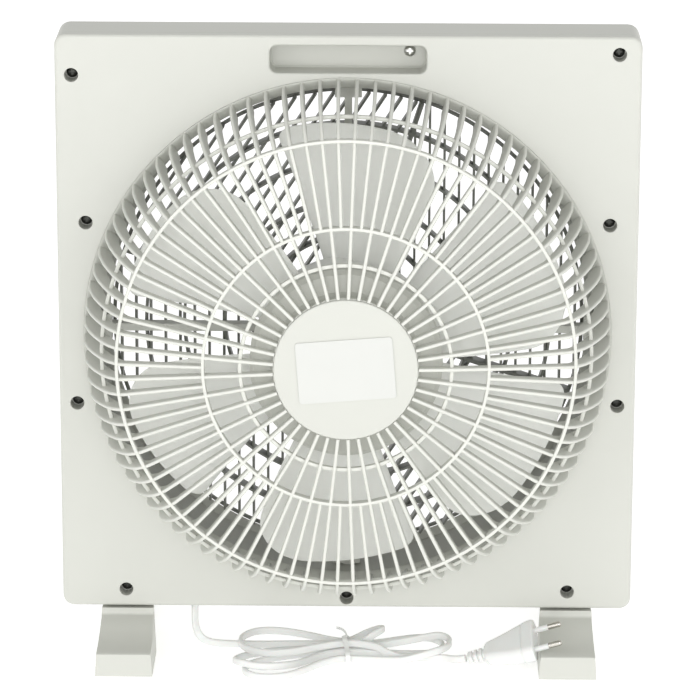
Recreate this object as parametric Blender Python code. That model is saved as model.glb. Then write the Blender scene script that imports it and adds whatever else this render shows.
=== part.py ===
"""A 30 cm box fan, standing on two feet, with its mains lead laid in a tied hank behind it.

The air leaves at -Y, through the turning louvre wheel, and enters at +Y, through the domed guard.
The origin is on the floor, under the middle of the fan, and +Z is up. Lengths are in metres.
Depths along the fan's axis are given from the rear panel's outer face: a depth of +0.083 is
83 mm out of that face, towards +Y, and -0.055 is the front face.
"""

import math

import bmesh
import bpy
from mathutils import Matrix, Vector

MM = 0.001
GAP = 0.3 * MM

# ---------------------------------------------------------------- driving dimensions

WIDTH = 390 * MM
HEIGHT = 400 * MM
DEPTH = 55 * MM
WALL = 2.2 * MM
FOOT_HEIGHT = 34 * MM
CORNER_RADIUS = 7.5 * MM
FRONT_EDGE_RADIUS = 12 * MM
REAR_LIP = 8 * MM

MIDDLE_Z = FOOT_HEIGHT + HEIGHT / 2
AXIS_Z = MIDDLE_Z - 6.4 * MM

OPENING_RADIUS = 178 * MM
DUCT_RADIUS = 170 * MM
LOUVRE_OPENING_RADIUS = 163.5 * MM

RIB_COUNT = 90
RIB_WIDTH = 2.4 * MM

CAP_RADIUS = 47.6 * MM
CAP_DEPTH = 83.2 * MM
LABEL_THICKNESS = 0.3 * MM
LABEL_DEPTH = CAP_DEPTH + GAP + LABEL_THICKNESS

BLADE_COUNT = 6
BLADE_TIP_RADIUS = 152 * MM
HUB_RADIUS = 59 * MM

FOOT_REAR_DEPTH = 48 * MM
FOOT_FRONT_DEPTH = -DEPTH - FOOT_REAR_DEPTH
FOOT_X = 150.75 * MM

# The origin is under the middle of the bounding box, which runs from the feet's front ends to the label.
PANEL_Y = -(FOOT_FRONT_DEPTH + LABEL_DEPTH) / 2

SHAFT_RADIUS = 4 * MM

# x, and height over the panel's middle, of the nine screws that hold the two shells together.
HOUSING_SCREWS = [
    (183.9 * MM, 172.5 * MM),
    (-179.9 * MM, 188.0 * MM),
    (175.7 * MM, 71.6 * MM),
    (-175.7 * MM, 71.6 * MM),
    (183.1 * MM, -54.6 * MM),
    (-183.1 * MM, -54.6 * MM),
    (151.4 * MM, -187.9 * MM),
    (-151.4 * MM, -187.9 * MM),
    (0.0, -193.3 * MM),
]
COUNTERBORE_RADIUS = 4.65 * MM
BOSS_RADIUS = 6.4 * MM
BOSS_LENGTH = 14 * MM
POST_RADIUS = 4.8 * MM
SCREW_HOLE_RADIUS = 2.1 * MM
SCREW_HEAD_RADIUS = 3.9 * MM
SCREW_SHANK_RADIUS = 1.7 * MM

RECESS_HALF_WIDTH = 52 * MM
RECESS_LOW = MIDDLE_Z + 174.5 * MM
RECESS_HIGH = MIDDLE_Z + 193 * MM
RECESS_DEPTH = 21 * MM
RECESS_SCREW_X = -41 * MM
RECESS_SCREW_Z = MIDDLE_Z + 186 * MM

KNOB_X = 150 * MM
KNOB_Z = MIDDLE_Z + 156 * MM
ROCKER_Z = MIDDLE_Z + 185 * MM
ROCKER_TILT = math.radians(10)
ROCKER_PIVOT_DEPTH = -DEPTH + 1.5 * MM

SLAT_PITCH = 10 * MM
SLAT_THICKNESS = 1.6 * MM
SHORTEST_SLAT = 12 * MM

GLAND_X = 105 * MM
GLAND_DEPTH = -15 * MM


# ---------------------------------------------------------------- tools


def at(depth):
    """The y of a depth from the rear panel's outer face."""
    return PANEL_Y + depth


def clear_scene():
    for obj in list(bpy.data.objects):
        bpy.data.objects.remove(obj)


def material(name, red, green, blue, roughness, metallic=0.0):
    made = bpy.data.materials.new(name)
    made.use_nodes = True
    shader = made.node_tree.nodes["Principled BSDF"]
    shader.inputs["Base Color"].default_value = (red, green, blue, 1.0)
    shader.inputs["Roughness"].default_value = roughness
    shader.inputs["Metallic"].default_value = metallic
    return made


def empty(name, location):
    made = bpy.data.objects.new(name, None)
    made.location = location
    made.empty_display_size = 0.03
    bpy.context.scene.collection.objects.link(made)
    return made


def finish(name, mesh_code, finish_material, parent=None, smooth=True):
    """Makes the object of a bmesh, with its faces pointing out."""
    bmesh.ops.recalc_face_normals(mesh_code, faces=mesh_code.faces)
    mesh = bpy.data.meshes.new(name)
    mesh_code.to_mesh(mesh)
    mesh_code.free()
    if smooth:
        mesh.shade_smooth()
        mesh.set_sharp_from_angle(angle=math.radians(35))
    if finish_material:
        mesh.materials.append(finish_material)
    obj = bpy.data.objects.new(name, mesh)
    bpy.context.scene.collection.objects.link(obj)
    obj.parent = parent
    return obj


def box(name, low, high, finish_material=None, parent=None):
    shape = bmesh.new()
    bmesh.ops.create_cube(shape, size=1.0)
    size = [b - a for a, b in zip(low, high)]
    centre = [(a + b) / 2 for a, b in zip(low, high)]
    bmesh.ops.scale(shape, vec=size, verts=shape.verts)
    bmesh.ops.translate(shape, vec=centre, verts=shape.verts)
    return finish(name, shape, finish_material, parent, smooth=False)


def lathe(name, profile, segments, finish_material=None, parent=None, axis="Y", place=(0, 0, 0)):
    """Turns a profile of (radius, distance along the axis) points round Y or Z.

    A profile that starts and ends on the axis makes a solid piece, and any other is closed into a ring.
    """
    shape = bmesh.new()
    points = [Vector((r, t, 0) if axis == "Y" else (r, 0, t)) for r, t in profile]
    corners = [shape.verts.new(point) for point in points]
    edges = [shape.edges.new(pair) for pair in zip(corners, corners[1:])]
    if profile[0][0] > 0:
        edges.append(shape.edges.new((corners[-1], corners[0])))
    bmesh.ops.spin(
        shape,
        geom=corners + edges,
        cent=(0, 0, 0),
        axis=(0, 1, 0) if axis == "Y" else (0, 0, 1),
        angle=math.tau,
        steps=segments,
    )
    bmesh.ops.remove_doubles(shape, verts=shape.verts, dist=1e-6)
    bmesh.ops.translate(shape, vec=place, verts=shape.verts)
    return finish(name, shape, finish_material, parent)


def cylinder(name, radius, low, high, finish_material=None, parent=None, segments=12, axis="Y", place=(0, 0, 0)):
    profile = [(0, low), (radius, low), (radius, high), (0, high)]
    return lathe(name, profile, segments, finish_material, parent, axis, place)


def loft(name, rings, finish_material=None, parent=None, smooth=True):
    """Bridges rings of points, all of one length, and caps both ends."""
    shape = bmesh.new()
    loops = [[shape.verts.new(point) for point in ring] for ring in rings]
    count = len(loops[0])
    for first, second in zip(loops, loops[1:]):
        for i in range(count):
            j = (i + 1) % count
            shape.faces.new((first[i], first[j], second[j], second[i]))
    shape.faces.new(loops[0])
    shape.faces.new(loops[-1])
    return finish(name, shape, finish_material, parent, smooth)


def rounded_rectangle(half_width, half_height, radius, steps=4):
    """Points (across, up) round a rectangle with arcs at its corners."""
    points = []
    for quarter in range(4):
        across = half_width - radius if quarter in (0, 3) else radius - half_width
        up = half_height - radius if quarter in (0, 1) else radius - half_height
        for step in range(steps + 1):
            angle = math.pi / 2 * (quarter + step / steps)
            points.append((across + radius * math.cos(angle), up + radius * math.sin(angle)))
    return points


def body_ring(inset, depth, radius=CORNER_RADIUS):
    """The casing's outline, drawn in by inset, at a depth."""
    outline = rounded_rectangle(WIDTH / 2 - inset, HEIGHT / 2 - inset, radius)
    return [(x, at(depth), MIDDLE_Z + z) for x, z in outline]


def combine(target, operation, tools):
    """Adds one Boolean of all the tools, which then stay hidden."""
    group = bpy.data.collections.new(f"{target.name}_{operation.lower()}")
    for tool in tools:
        group.objects.link(tool)
        tool.hide_render = True
        tool.display_type = "WIRE"
    boolean = target.modifiers.new(operation.title(), "BOOLEAN")
    boolean.operation = operation
    boolean.operand_type = "COLLECTION"
    boolean.collection = group
    boolean.solver = "EXACT"


# ---------------------------------------------------------------- materials

clear_scene()

SHELL = material("shell_plastic", 0.78, 0.79, 0.76, 0.42)
BLADE = material("blade_plastic", 0.60, 0.61, 0.58, 0.38)
LOUVRE = material("louvre_plastic", 0.62, 0.63, 0.61, 0.45)
KNOB = material("knob_plastic", 0.20, 0.21, 0.22, 0.35)
LABEL = material("label_film", 0.86, 0.86, 0.85, 0.35)
CORD = material("cord_pvc", 0.84, 0.84, 0.82, 0.40)
TIE = material("tie_plastic", 0.80, 0.80, 0.79, 0.35)
ZINC = material("zinc_plated_steel", 0.62, 0.62, 0.60, 0.35, 1.0)
STEEL = material("ground_steel", 0.66, 0.66, 0.66, 0.25, 1.0)
CASTING = material("die_cast_aluminium", 0.55, 0.56, 0.57, 0.45, 1.0)
LAMINATION = material("stator_laminations", 0.30, 0.30, 0.31, 0.50, 1.0)
COPPER = material("enamelled_copper", 0.55, 0.25, 0.10, 0.35, 1.0)
NICKEL = material("nickel_plated_brass", 0.75, 0.74, 0.70, 0.20, 1.0)
BLACK = material("black_plastic", 0.03, 0.03, 0.03, 0.45)


# ---------------------------------------------------------------- rear shell


def screw_places():
    return [(x, MIDDLE_Z + z) for x, z in HOUSING_SCREWS]


def make_rear_shell():
    edge = 1.6 * MM
    shell = loft(
        "rear_shell",
        [body_ring(0, -REAR_LIP), body_ring(0, -edge), body_ring(edge * 0.3, -edge * 0.3), body_ring(edge, 0)],
        SHELL,
    )
    cavity = loft("rear_cavity", [body_ring(WALL, -REAR_LIP - WALL, 5.5 * MM), body_ring(WALL, -WALL, 5.5 * MM)])
    combine(shell, "DIFFERENCE", [cavity])

    thick = WALL
    tub = box(
        "recess_tub",
        (-RECESS_HALF_WIDTH - thick, at(-RECESS_DEPTH - thick), RECESS_LOW - thick),
        (RECESS_HALF_WIDTH + thick, at(-1.0 * MM), RECESS_HIGH + thick),
    )
    bosses = [
        cylinder(f"boss_{i}", BOSS_RADIUS, at(-BOSS_LENGTH), at(-1.0 * MM), place=(x, 0, z))
        for i, (x, z) in enumerate(screw_places())
    ]
    combine(shell, "UNION", [tub] + bosses)

    past = 5 * MM
    opening = cylinder(
        "rear_opening", OPENING_RADIUS, at(-REAR_LIP - past), at(past), segments=RIB_COUNT, place=(0, 0, AXIS_Z)
    )
    pocket_outline = rounded_rectangle(RECESS_HALF_WIDTH, (RECESS_HIGH - RECESS_LOW) / 2, 5 * MM)
    pocket_z = (RECESS_HIGH + RECESS_LOW) / 2
    pocket = loft(
        "recess_pocket",
        [[(x, at(depth), pocket_z + z) for x, z in pocket_outline] for depth in (-RECESS_DEPTH, past)],
    )
    counterbores = [
        cylinder(f"counterbore_{i}", COUNTERBORE_RADIUS, at(-BOSS_LENGTH + 2 * MM), at(past), place=(x, 0, z))
        for i, (x, z) in enumerate(screw_places())
    ]
    holes = [
        cylinder(f"rear_hole_{i}", SCREW_HOLE_RADIUS, at(-BOSS_LENGTH - past), at(0), segments=8, place=(x, 0, z))
        for i, (x, z) in enumerate(screw_places() + [(RECESS_SCREW_X, RECESS_SCREW_Z)])
    ]
    # The last hole goes through the recess's back wall.
    holes[-1].location.y = -RECESS_DEPTH + BOSS_LENGTH - 2 * MM
    combine(shell, "DIFFERENCE", [opening, pocket] + counterbores + holes)


# ---------------------------------------------------------------- rear guard


def make_rear_guard():
    """A domed lattice: ribs every 4 degrees, joined by a rim, two flush rings and a hub ring.

    Each station is a place along a rib: the radius and depth of its outer edge, then of its inner edge.
    Only every second rib goes on inwards from the smaller flush ring.
    """
    stations = [
        ((177.7, -2.0), (175.2, -2.0)),
        ((177.6, 1.5), (175.0, 1.5)),
        ((170.0, 46.0), (161.0, 42.5)),
        ((152.4, 71.7), (147.5, 64.0)),
        ((150.2, 72.6), (145.5, 64.5)),
        ((95.2, 78.9), (94.7, 70.5)),
        ((93.2, 79.1), (92.7, 70.7)),
        ((48.4, 82.4), (48.4, 74.0)),
        ((48.2, 80.2), (48.1, 73.9)),
        ((42.0, 80.2), (42.0, 74.0)),
    ]
    # For each stretch between two stations: every how many ribs it has, and whether it is a whole ring.
    stretches = [
        (1, True),
        (1, False),
        (1, False),
        (1, True),
        (1, False),
        (1, True),
        (2, False),
        (2, False),
        (2, True),
    ]
    shape = bmesh.new()
    corners = {}

    def corner(station, rib, side, edge):
        """One vertex: side is -1 or 1 across the rib, and edge is 0 outside or 1 inside."""
        key = (station, rib % RIB_COUNT, side, edge)
        if key not in corners:
            radius, depth = (value * MM for value in stations[station][edge])
            angle = math.tau * rib / RIB_COUNT + side * math.asin(RIB_WIDTH / 2 / radius)
            # Angles are counted as seen from the rear, where -X is to the right.
            corners[key] = shape.verts.new((-radius * math.cos(angle), at(depth), radius * math.sin(angle)))
        return corners[key]

    def filled(stretch, rib, is_gap):
        if not 0 <= stretch < len(stretches):
            return False
        step, whole = stretches[stretch]
        return rib % step == 0 and (whole or not is_gap)

    for stretch, (step, whole) in enumerate(stretches):
        for rib in range(0, RIB_COUNT, step):
            for is_gap in (False, True):
                if not filled(stretch, rib, is_gap):
                    continue
                start = (rib, 1) if is_gap else (rib, -1)
                end = (rib + step, -1) if is_gap else (rib, 1)
                ends = [
                    [[corner(station, *where, edge) for where in (start, end)] for edge in (0, 1)]
                    for station in (stretch, stretch + 1)
                ]
                for edge in (0, 1):
                    shape.faces.new((ends[0][edge][0], ends[0][edge][1], ends[1][edge][1], ends[1][edge][0]))
                if not is_gap and not whole:
                    for side in (0, 1):
                        shape.faces.new((ends[0][0][side], ends[0][1][side], ends[1][1][side], ends[1][0][side]))
                for station, beyond in ((0, stretch - 1), (1, stretch + 1)):
                    if not filled(beyond, rib, is_gap):
                        shape.faces.new(
                            (ends[station][0][0], ends[station][0][1], ends[station][1][1], ends[station][1][0])
                        )
    guard = finish("rear_guard", shape, SHELL)
    guard.location.z = AXIS_Z


def make_cap_and_label():
    top = CAP_DEPTH
    profile = [
        (0, top),
        (45.5 * MM, top),
        (CAP_RADIUS, top - 0.8 * MM),
        (CAP_RADIUS, top - 2.6 * MM),
        (41.6 * MM, top - 2.6 * MM),
        (41.6 * MM, top - 7 * MM),
        (39.6 * MM, top - 7 * MM),
        (39.6 * MM, top - 2.2 * MM),
        (0, top - 2.2 * MM),
    ]
    cap = lathe("motor_cap", [(r, at(t)) for r, t in profile], 28, SHELL)
    cap.location.z = AXIS_Z
    label_half_width = 32 * MM
    label_half_height = 20.8 * MM
    label = box(
        "rating_label",
        (-label_half_width, at(CAP_DEPTH + GAP), -label_half_height),
        (label_half_width, at(LABEL_DEPTH), label_half_height),
        LABEL,
    )
    label.location.z = AXIS_Z
    label.rotation_euler.y = math.radians(4.5)


# ---------------------------------------------------------------- front housing


def make_front_housing():
    seam = -REAR_LIP - GAP
    radius = FRONT_EDGE_RADIUS
    outer, inner = [body_ring(0, seam)], [body_ring(WALL, seam + WALL, 5.5 * MM)]
    for step in range(5):
        angle = math.pi / 2 * step / 4
        inset, depth = radius * (1 - math.cos(angle)), radius * (1 - math.sin(angle)) - DEPTH
        outer.append(body_ring(inset, depth))
        small = radius - WALL
        inset = WALL + small * (1 - math.cos(angle))
        inner.append(body_ring(inset, WALL + small * (1 - math.sin(angle)) - DEPTH, 5.5 * MM))
    housing = loft("front_housing", outer, SHELL)
    combine(housing, "DIFFERENCE", [loft("front_cavity", inner)])

    duct_end = -WALL - 2 * GAP
    front = -DEPTH + 0.5 * MM
    duct_profile = [
        (DUCT_RADIUS, at(front)),
        (DUCT_RADIUS + WALL, at(front)),
        (DUCT_RADIUS + WALL, at(duct_end)),
        (DUCT_RADIUS, at(duct_end)),
    ]
    duct = lathe("duct_wall", duct_profile, 48, place=(0, 0, AXIS_Z))
    posts = []
    post_end = -BOSS_LENGTH - GAP
    for i, (x, z) in enumerate(screw_places()):
        root = -46 * MM if x == 0 else -DEPTH + 1.2 * MM
        posts.append(cylinder(f"post_{i}", POST_RADIUS, at(root), at(post_end), segments=10, place=(x, 0, z)))
    recess_back = -RECESS_DEPTH - WALL - GAP
    posts.append(
        cylinder(
            "recess_post",
            POST_RADIUS,
            at(-DEPTH + 1.2 * MM),
            at(recess_back),
            segments=10,
            place=(RECESS_SCREW_X, 0, RECESS_SCREW_Z),
        )
    )
    combine(housing, "UNION", [duct] + posts)

    past = 5 * MM
    opening = cylinder(
        "front_opening",
        LOUVRE_OPENING_RADIUS,
        at(-DEPTH - past),
        at(-DEPTH + WALL + past),
        segments=60,
        place=(0, 0, AXIS_Z),
    )
    screw_holes = [
        cylinder(f"front_hole_{i}", SCREW_HOLE_RADIUS, at(-30 * MM), at(0), segments=8, place=(x, 0, z))
        for i, (x, z) in enumerate(screw_places())
    ]
    screw_holes.append(
        cylinder(
            "recess_post_hole",
            SCREW_HOLE_RADIUS,
            at(-38 * MM),
            at(0),
            segments=8,
            place=(RECESS_SCREW_X, 0, RECESS_SCREW_Z),
        )
    )
    spindle_holes = [
        cylinder(
            f"spindle_hole_{side}",
            4 * MM,
            at(-DEPTH - past),
            at(-DEPTH + WALL + past),
            place=(side * KNOB_X, 0, KNOB_Z),
        )
        for side in (-1, 1)
    ]
    rocker_hole = box(
        "rocker_hole",
        (-9.5 * MM, at(-DEPTH - past), ROCKER_Z - 6.5 * MM),
        (9.5 * MM, at(-DEPTH + WALL + past), ROCKER_Z + 6.5 * MM),
    )
    floor_holes = [
        cylinder(
            f"floor_hole_{i}",
            SCREW_HOLE_RADIUS,
            FOOT_HEIGHT - past,
            FOOT_HEIGHT + past,
            segments=8,
            axis="Z",
            place=(x, y, 0),
        )
        for i, (x, y) in enumerate(foot_screw_places())
    ]
    # The middle boss at the bottom is as low as the wall, which is cut away round it.
    boss_x, boss_z = screw_places()[-1]
    boss_notch = box(
        "boss_notch",
        (boss_x - BOSS_RADIUS - GAP, at(-BOSS_LENGTH - GAP), boss_z - 10 * MM),
        (boss_x + BOSS_RADIUS + GAP, at(0), boss_z + 10 * MM),
    )
    gland_hole = cylinder(
        "gland_hole",
        5.2 * MM,
        FOOT_HEIGHT - past,
        FOOT_HEIGHT + past,
        axis="Z",
        place=(GLAND_X, at(GLAND_DEPTH), 0),
    )
    combine(
        housing,
        "DIFFERENCE",
        [opening, rocker_hole, gland_hole, boss_notch] + screw_holes + spindle_holes + floor_holes,
    )


def screw(name, head, tip, place, axis="Y", head_radius=SCREW_HEAD_RADIUS, shank_radius=SCREW_SHANK_RADIUS):
    """A pan-head screw, from the underside of its head to its tip, along Y or Z."""
    outward = 1 if head > tip else -1
    thick = 2.6 * MM * outward
    profile = [
        (0, tip),
        (shank_radius, tip),
        (shank_radius, head),
        (head_radius, head),
        (head_radius * 0.85, head + thick),
        (0, head + thick),
    ]
    return lathe(name, profile, 8, ZINC, axis=axis, place=place)


def make_housing_screws():
    seat = -BOSS_LENGTH + 2 * MM + GAP
    for i, (x, z) in enumerate(screw_places()):
        screw(f"housing_screw_{i + 1}", at(seat), at(-27 * MM), (x, 0, z))
    seat = -RECESS_DEPTH + GAP
    screw("recess_screw", at(seat), at(-36 * MM), (RECESS_SCREW_X, 0, RECESS_SCREW_Z))


# ---------------------------------------------------------------- motor and impeller


def make_motor(axis):
    """The induction motor, held on the guard's hub ring, inside the impeller's hub."""
    ring_inner = 73.9 * MM
    plate_high = ring_inner - GAP
    plate_low = plate_high - 3 * MM
    bell_high = plate_low - GAP
    # The mount's outer part steps down to a skirt that covers the impeller's hub.
    skirt_end = 54 * MM
    bell_floor = bell_high - 4 * MM
    stator_high = 57 * MM
    stator_low = 41 * MM
    front_low = 27 * MM
    bell_radius = 40 * MM
    bolt_radius = 30 * MM
    pocket = 9.3 * MM
    bearing_length = 6 * MM

    def ring(name, points, segments, finish_material, parent=None):
        made = lathe(name, [(r, at(t)) for r, t in points], segments, finish_material, parent)
        made.location.z = 0 if parent else AXIS_Z
        return made

    bolts = [
        (bolt_radius * math.cos(math.radians(45 + 90 * i)), bolt_radius * math.sin(math.radians(45 + 90 * i)))
        for i in range(4)
    ]

    def drill(target, low, high):
        tools = [
            cylinder(f"{target.name}_hole_{i}", 2.2 * MM, at(low), at(high), segments=8, place=(x, 0, AXIS_Z + z))
            for i, (x, z) in enumerate(bolts)
        ]
        combine(target, "DIFFERENCE", tools)

    plate = ring(
        "motor_mount",
        [
            (12 * MM, plate_low),
            (46.5 * MM, plate_low),
            (49 * MM, plate_high - 5.8 * MM),
            (60.2 * MM, plate_high - 7.8 * MM),
            (62.2 * MM, plate_high - 9.7 * MM),
            (62.2 * MM, skirt_end),
            (64 * MM, skirt_end),
            (64 * MM, plate_high - 9 * MM),
            (61 * MM, plate_high - 6 * MM),
            (50 * MM, plate_high - 4 * MM),
            (47 * MM, plate_high),
            (12 * MM, plate_high),
        ],
        32,
        SHELL,
    )
    drill(plate, plate_low - 1 * MM, plate_high + 1 * MM)
    rear_bell = ring(
        "motor_rear_bell",
        [
            (6 * MM, bell_high),
            (bell_radius - 3 * MM, bell_high),
            (bell_radius, bell_high - 3 * MM),
            (bell_radius, stator_high + GAP),
            (bell_radius - 2.5 * MM, stator_high + GAP),
            (bell_radius - 2.5 * MM, bell_floor),
            (12 * MM, bell_floor),
            (12 * MM, bell_floor - 4 * MM),
            (pocket, bell_floor - 4 * MM),
            (pocket, bell_high - 2 * MM),
            (6 * MM, bell_high - 2 * MM),
        ],
        24,
        CASTING,
    )
    drill(rear_bell, bell_floor - 1 * MM, bell_high + 1 * MM)
    ring(
        "motor_stator",
        [(24 * MM, stator_low), (41 * MM, stator_low), (41 * MM, stator_high), (24 * MM, stator_high)],
        28,
        LAMINATION,
    )
    for name, low, high in (
        ("winding_rear", stator_high + GAP, stator_high + 6 * MM),
        ("winding_front", stator_low - 6 * MM, stator_low - GAP),
    ):
        ring(
            name,
            [(26 * MM, low), (35 * MM, low), (35 * MM, high), (26 * MM, high)],
            24,
            COPPER,
        )
    front_floor = front_low + 4 * MM
    ring(
        "motor_front_bell",
        [
            (6 * MM, front_low),
            (bell_radius - 3 * MM, front_low),
            (bell_radius, front_low + 3 * MM),
            (bell_radius, stator_low - GAP),
            (bell_radius - 2.5 * MM, stator_low - GAP),
            (bell_radius - 2.5 * MM, front_floor),
            (12 * MM, front_floor),
            (12 * MM, front_floor + 4 * MM),
            (pocket, front_floor + 4 * MM),
            (pocket, front_low + 2 * MM),
            (6 * MM, front_low + 2 * MM),
        ],
        24,
        CASTING,
    )
    for name, low in (
        ("bearing_rear", bell_high - 2 * MM - GAP - bearing_length),
        ("bearing_front", front_low + 2 * MM + GAP),
    ):
        high = low + bearing_length
        ring(
            name,
            [(SHAFT_RADIUS + GAP, low), (9 * MM, low), (9 * MM, high), (SHAFT_RADIUS + GAP, high)],
            16,
            STEEL,
        )
    for i, (x, z) in enumerate(bolts):
        screw(f"motor_screw_{i + 1}", at(plate_high + GAP), at(bell_floor + 0.5 * MM), (x, 0, AXIS_Z + z))

    ring(
        "motor_shaft",
        [(0, 69 * MM), (SHAFT_RADIUS, 69 * MM), (SHAFT_RADIUS, 1 * MM), (0, 1 * MM)],
        16,
        STEEL,
        axis,
    )
    ring(
        "motor_rotor",
        [
            (SHAFT_RADIUS + GAP, stator_low + 1 * MM),
            (23.5 * MM, stator_low + 1 * MM),
            (23.5 * MM, stator_high - 1 * MM),
            (SHAFT_RADIUS + GAP, stator_high - 1 * MM),
        ],
        24,
        LAMINATION,
        axis,
    )


def blade(name, turn, axis):
    """One blade: the leading edge is at the rear, with a large round tip corner."""
    root_radius = 57.2 * MM
    lead_depth, trail_depth = 49 * MM, 8.5 * MM
    thickness = 2.4 * MM
    across, along = 6, 3
    tip_angles = (4.5, 48.5)
    root_angles = (-1.5, 46.0)
    shape = bmesh.new()
    sides = []
    for side in (0, 1):
        rows = []
        for i in range(across + 1):
            s = i / across
            corner = 30 * MM * (1 - math.sqrt(1 - max(0.0, 1 - s / 0.34) ** 2))
            corner += 8 * MM * (1 - math.sqrt(1 - max(0.0, (s - 0.9) / 0.1) ** 2))
            tip_radius = BLADE_TIP_RADIUS - corner
            row = []
            for j in range(along + 1):
                radius = root_radius + (tip_radius - root_radius) * j / along
                out = (radius - root_radius) / (BLADE_TIP_RADIUS - root_radius)
                low = root_angles[0] + (tip_angles[0] - root_angles[0]) * out
                high = root_angles[1] + (tip_angles[1] - root_angles[1]) * out
                angle = math.radians(low + (high - low) * s + turn)
                camber = 3 * MM * math.sin(math.pi * s)
                depth = lead_depth + (trail_depth - lead_depth) * s - camber - thickness * side
                # Angles are counted as seen from the rear, where -X is to the right.
                row.append(shape.verts.new((-radius * math.cos(angle), at(depth), radius * math.sin(angle))))
            rows.append(row)
        sides.append(rows)
    rear, front = sides
    for i in range(across):
        for j in range(along):
            for rows in sides:
                shape.faces.new((rows[i][j], rows[i][j + 1], rows[i + 1][j + 1], rows[i + 1][j]))
    for j in range(along):
        for i in (0, across):
            shape.faces.new((rear[i][j], rear[i][j + 1], front[i][j + 1], front[i][j]))
    for i in range(across):
        for j in (0, along):
            shape.faces.new((rear[i][j], rear[i + 1][j], front[i + 1][j], front[i][j]))
    return finish(name, shape, None, axis)


def make_impeller(axis):
    wall = 2.4 * MM
    front, rear = 5 * MM, 52 * MM
    boss = 9 * MM
    bore = SHAFT_RADIUS + GAP
    profile = [
        (bore, front),
        (HUB_RADIUS - 4 * MM, front),
        (HUB_RADIUS, front + 4 * MM),
        (HUB_RADIUS, rear),
        (HUB_RADIUS - wall, rear),
        (HUB_RADIUS - wall, front + 5 * MM),
        (HUB_RADIUS - 5.5 * MM, front + wall),
        (boss, front + wall),
        (boss, 24 * MM),
        (bore, 24 * MM),
    ]
    impeller = lathe("impeller", [(r, at(t)) for r, t in profile], 36, BLADE, axis)
    blades = [blade(f"blade_{k}", 360 / BLADE_COUNT * k, axis) for k in range(BLADE_COUNT)]
    combine(impeller, "UNION", blades)
    low, high = -3 * MM, front - GAP
    nut = [(bore, low), (11 * MM, low), (13 * MM, high), (bore, high)]
    lathe("impeller_nut", [(r, at(t)) for r, t in nut], 12, KNOB, axis)


# ---------------------------------------------------------------- louvre drive and wheel


def make_louvre_bracket():
    """A spider across the duct that holds the louvre's gear motor behind the louvre wheel."""
    low, high = -30 * MM, -20 * MM
    hub = [
        (4 * MM, high),
        (30 * MM, high),
        (30 * MM, high - 3 * MM),
        (4 * MM, high - 3 * MM),
    ]
    bracket = lathe("louvre_bracket", [(r, at(t)) for r, t in hub], 24, SHELL)
    bracket.location.z = AXIS_Z
    reach = DUCT_RADIUS - 0.6 * MM
    half = 2.5 * MM
    foot_half = 9 * MM
    arms = []
    for i in range(4):
        turn = Matrix.Rotation(math.pi / 2 * i, 4, "Y")
        arm = box(f"arm_{i}", (26 * MM, at(low), -half), (reach, at(high - 0.1 * MM), half))
        # The ends are cut short of the duct's curve at their corners.
        foot = box(f"arm_foot_{i}", (reach - 9 * MM, at(low + 1 * MM), -foot_half), (reach - 1 * MM, at(high), foot_half))
        for piece in (arm, foot):
            piece.matrix_world = Matrix.Translation((0, 0, AXIS_Z)) @ turn
            arms.append(piece)
    combine(bracket, "UNION", arms)

    back, face = -5 * MM, -20 * MM + GAP
    motor = [(0, back), (22 * MM, back), (24 * MM, back - 2 * MM), (24 * MM, face), (0, face)]
    gear_motor = lathe("louvre_gear_motor", [(r, at(t)) for r, t in motor], 24, BLACK)
    gear_motor.location.z = AXIS_Z


def slat_spans(spoke_angle, slat_angle, offset, inner, outer):
    """The stretches of a straight line that lie in the quarter after a spoke, between two radii.

    The line runs at slat_angle, at an offset from the centre to its left.
    """
    if abs(offset) >= outer:
        return []
    run = Vector((math.cos(slat_angle), math.sin(slat_angle)))
    normal = Vector((-run.y, run.x))
    start, end = -math.sqrt(outer**2 - offset**2), math.sqrt(outer**2 - offset**2)
    for angle in (spoke_angle, spoke_angle + math.pi / 2):
        spoke = Vector((math.cos(angle), math.sin(angle)))
        slope, rest = run.dot(spoke), normal.dot(spoke) * offset
        if slope > 1e-6:
            start = max(start, -rest / slope)
        elif slope < -1e-6:
            end = min(end, -rest / slope)
        elif rest < 0:
            return []
    half_hub = math.sqrt(max(0.0, inner**2 - offset**2))
    spans = [(start, min(end, -half_hub)), (max(start, half_hub), end)] if half_hub else [(start, end)]
    return [span for span in spans if span[1] - span[0] > SHORTEST_SLAT]


def louvre_slats(quarter, spoke_angle, slat_angle, inner, outer, low, high, axis):
    """The slats of one quarter, as thin plates. Angles are as seen from the rear, where -X is to the right."""
    plates = []
    run = Vector((math.cos(slat_angle), math.sin(slat_angle)))
    half = SLAT_THICKNESS / 2
    for step in range(-16, 16):
        offset = (step + 0.5) * SLAT_PITCH
        for start, end in slat_spans(spoke_angle, slat_angle, offset, inner, outer):
            plate = box(f"louvre_slat_{quarter}_{step + 16}", (start, at(low), -half), (end, at(high), half))
            plate.parent = axis
            columns = ((-run.x, 0, run.y), (0, 1, 0), (run.y, 0, run.x), (run.y * offset, 0, run.x * offset))
            place = Matrix.Identity(4)
            for column, values in enumerate(columns):
                for row, value in enumerate(values):
                    place[row][column] = value
            plate.data.transform(place)
            if place.determinant() < 0:
                plate.data.flip_normals()
            plates.append(plate)
    return plates


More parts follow.
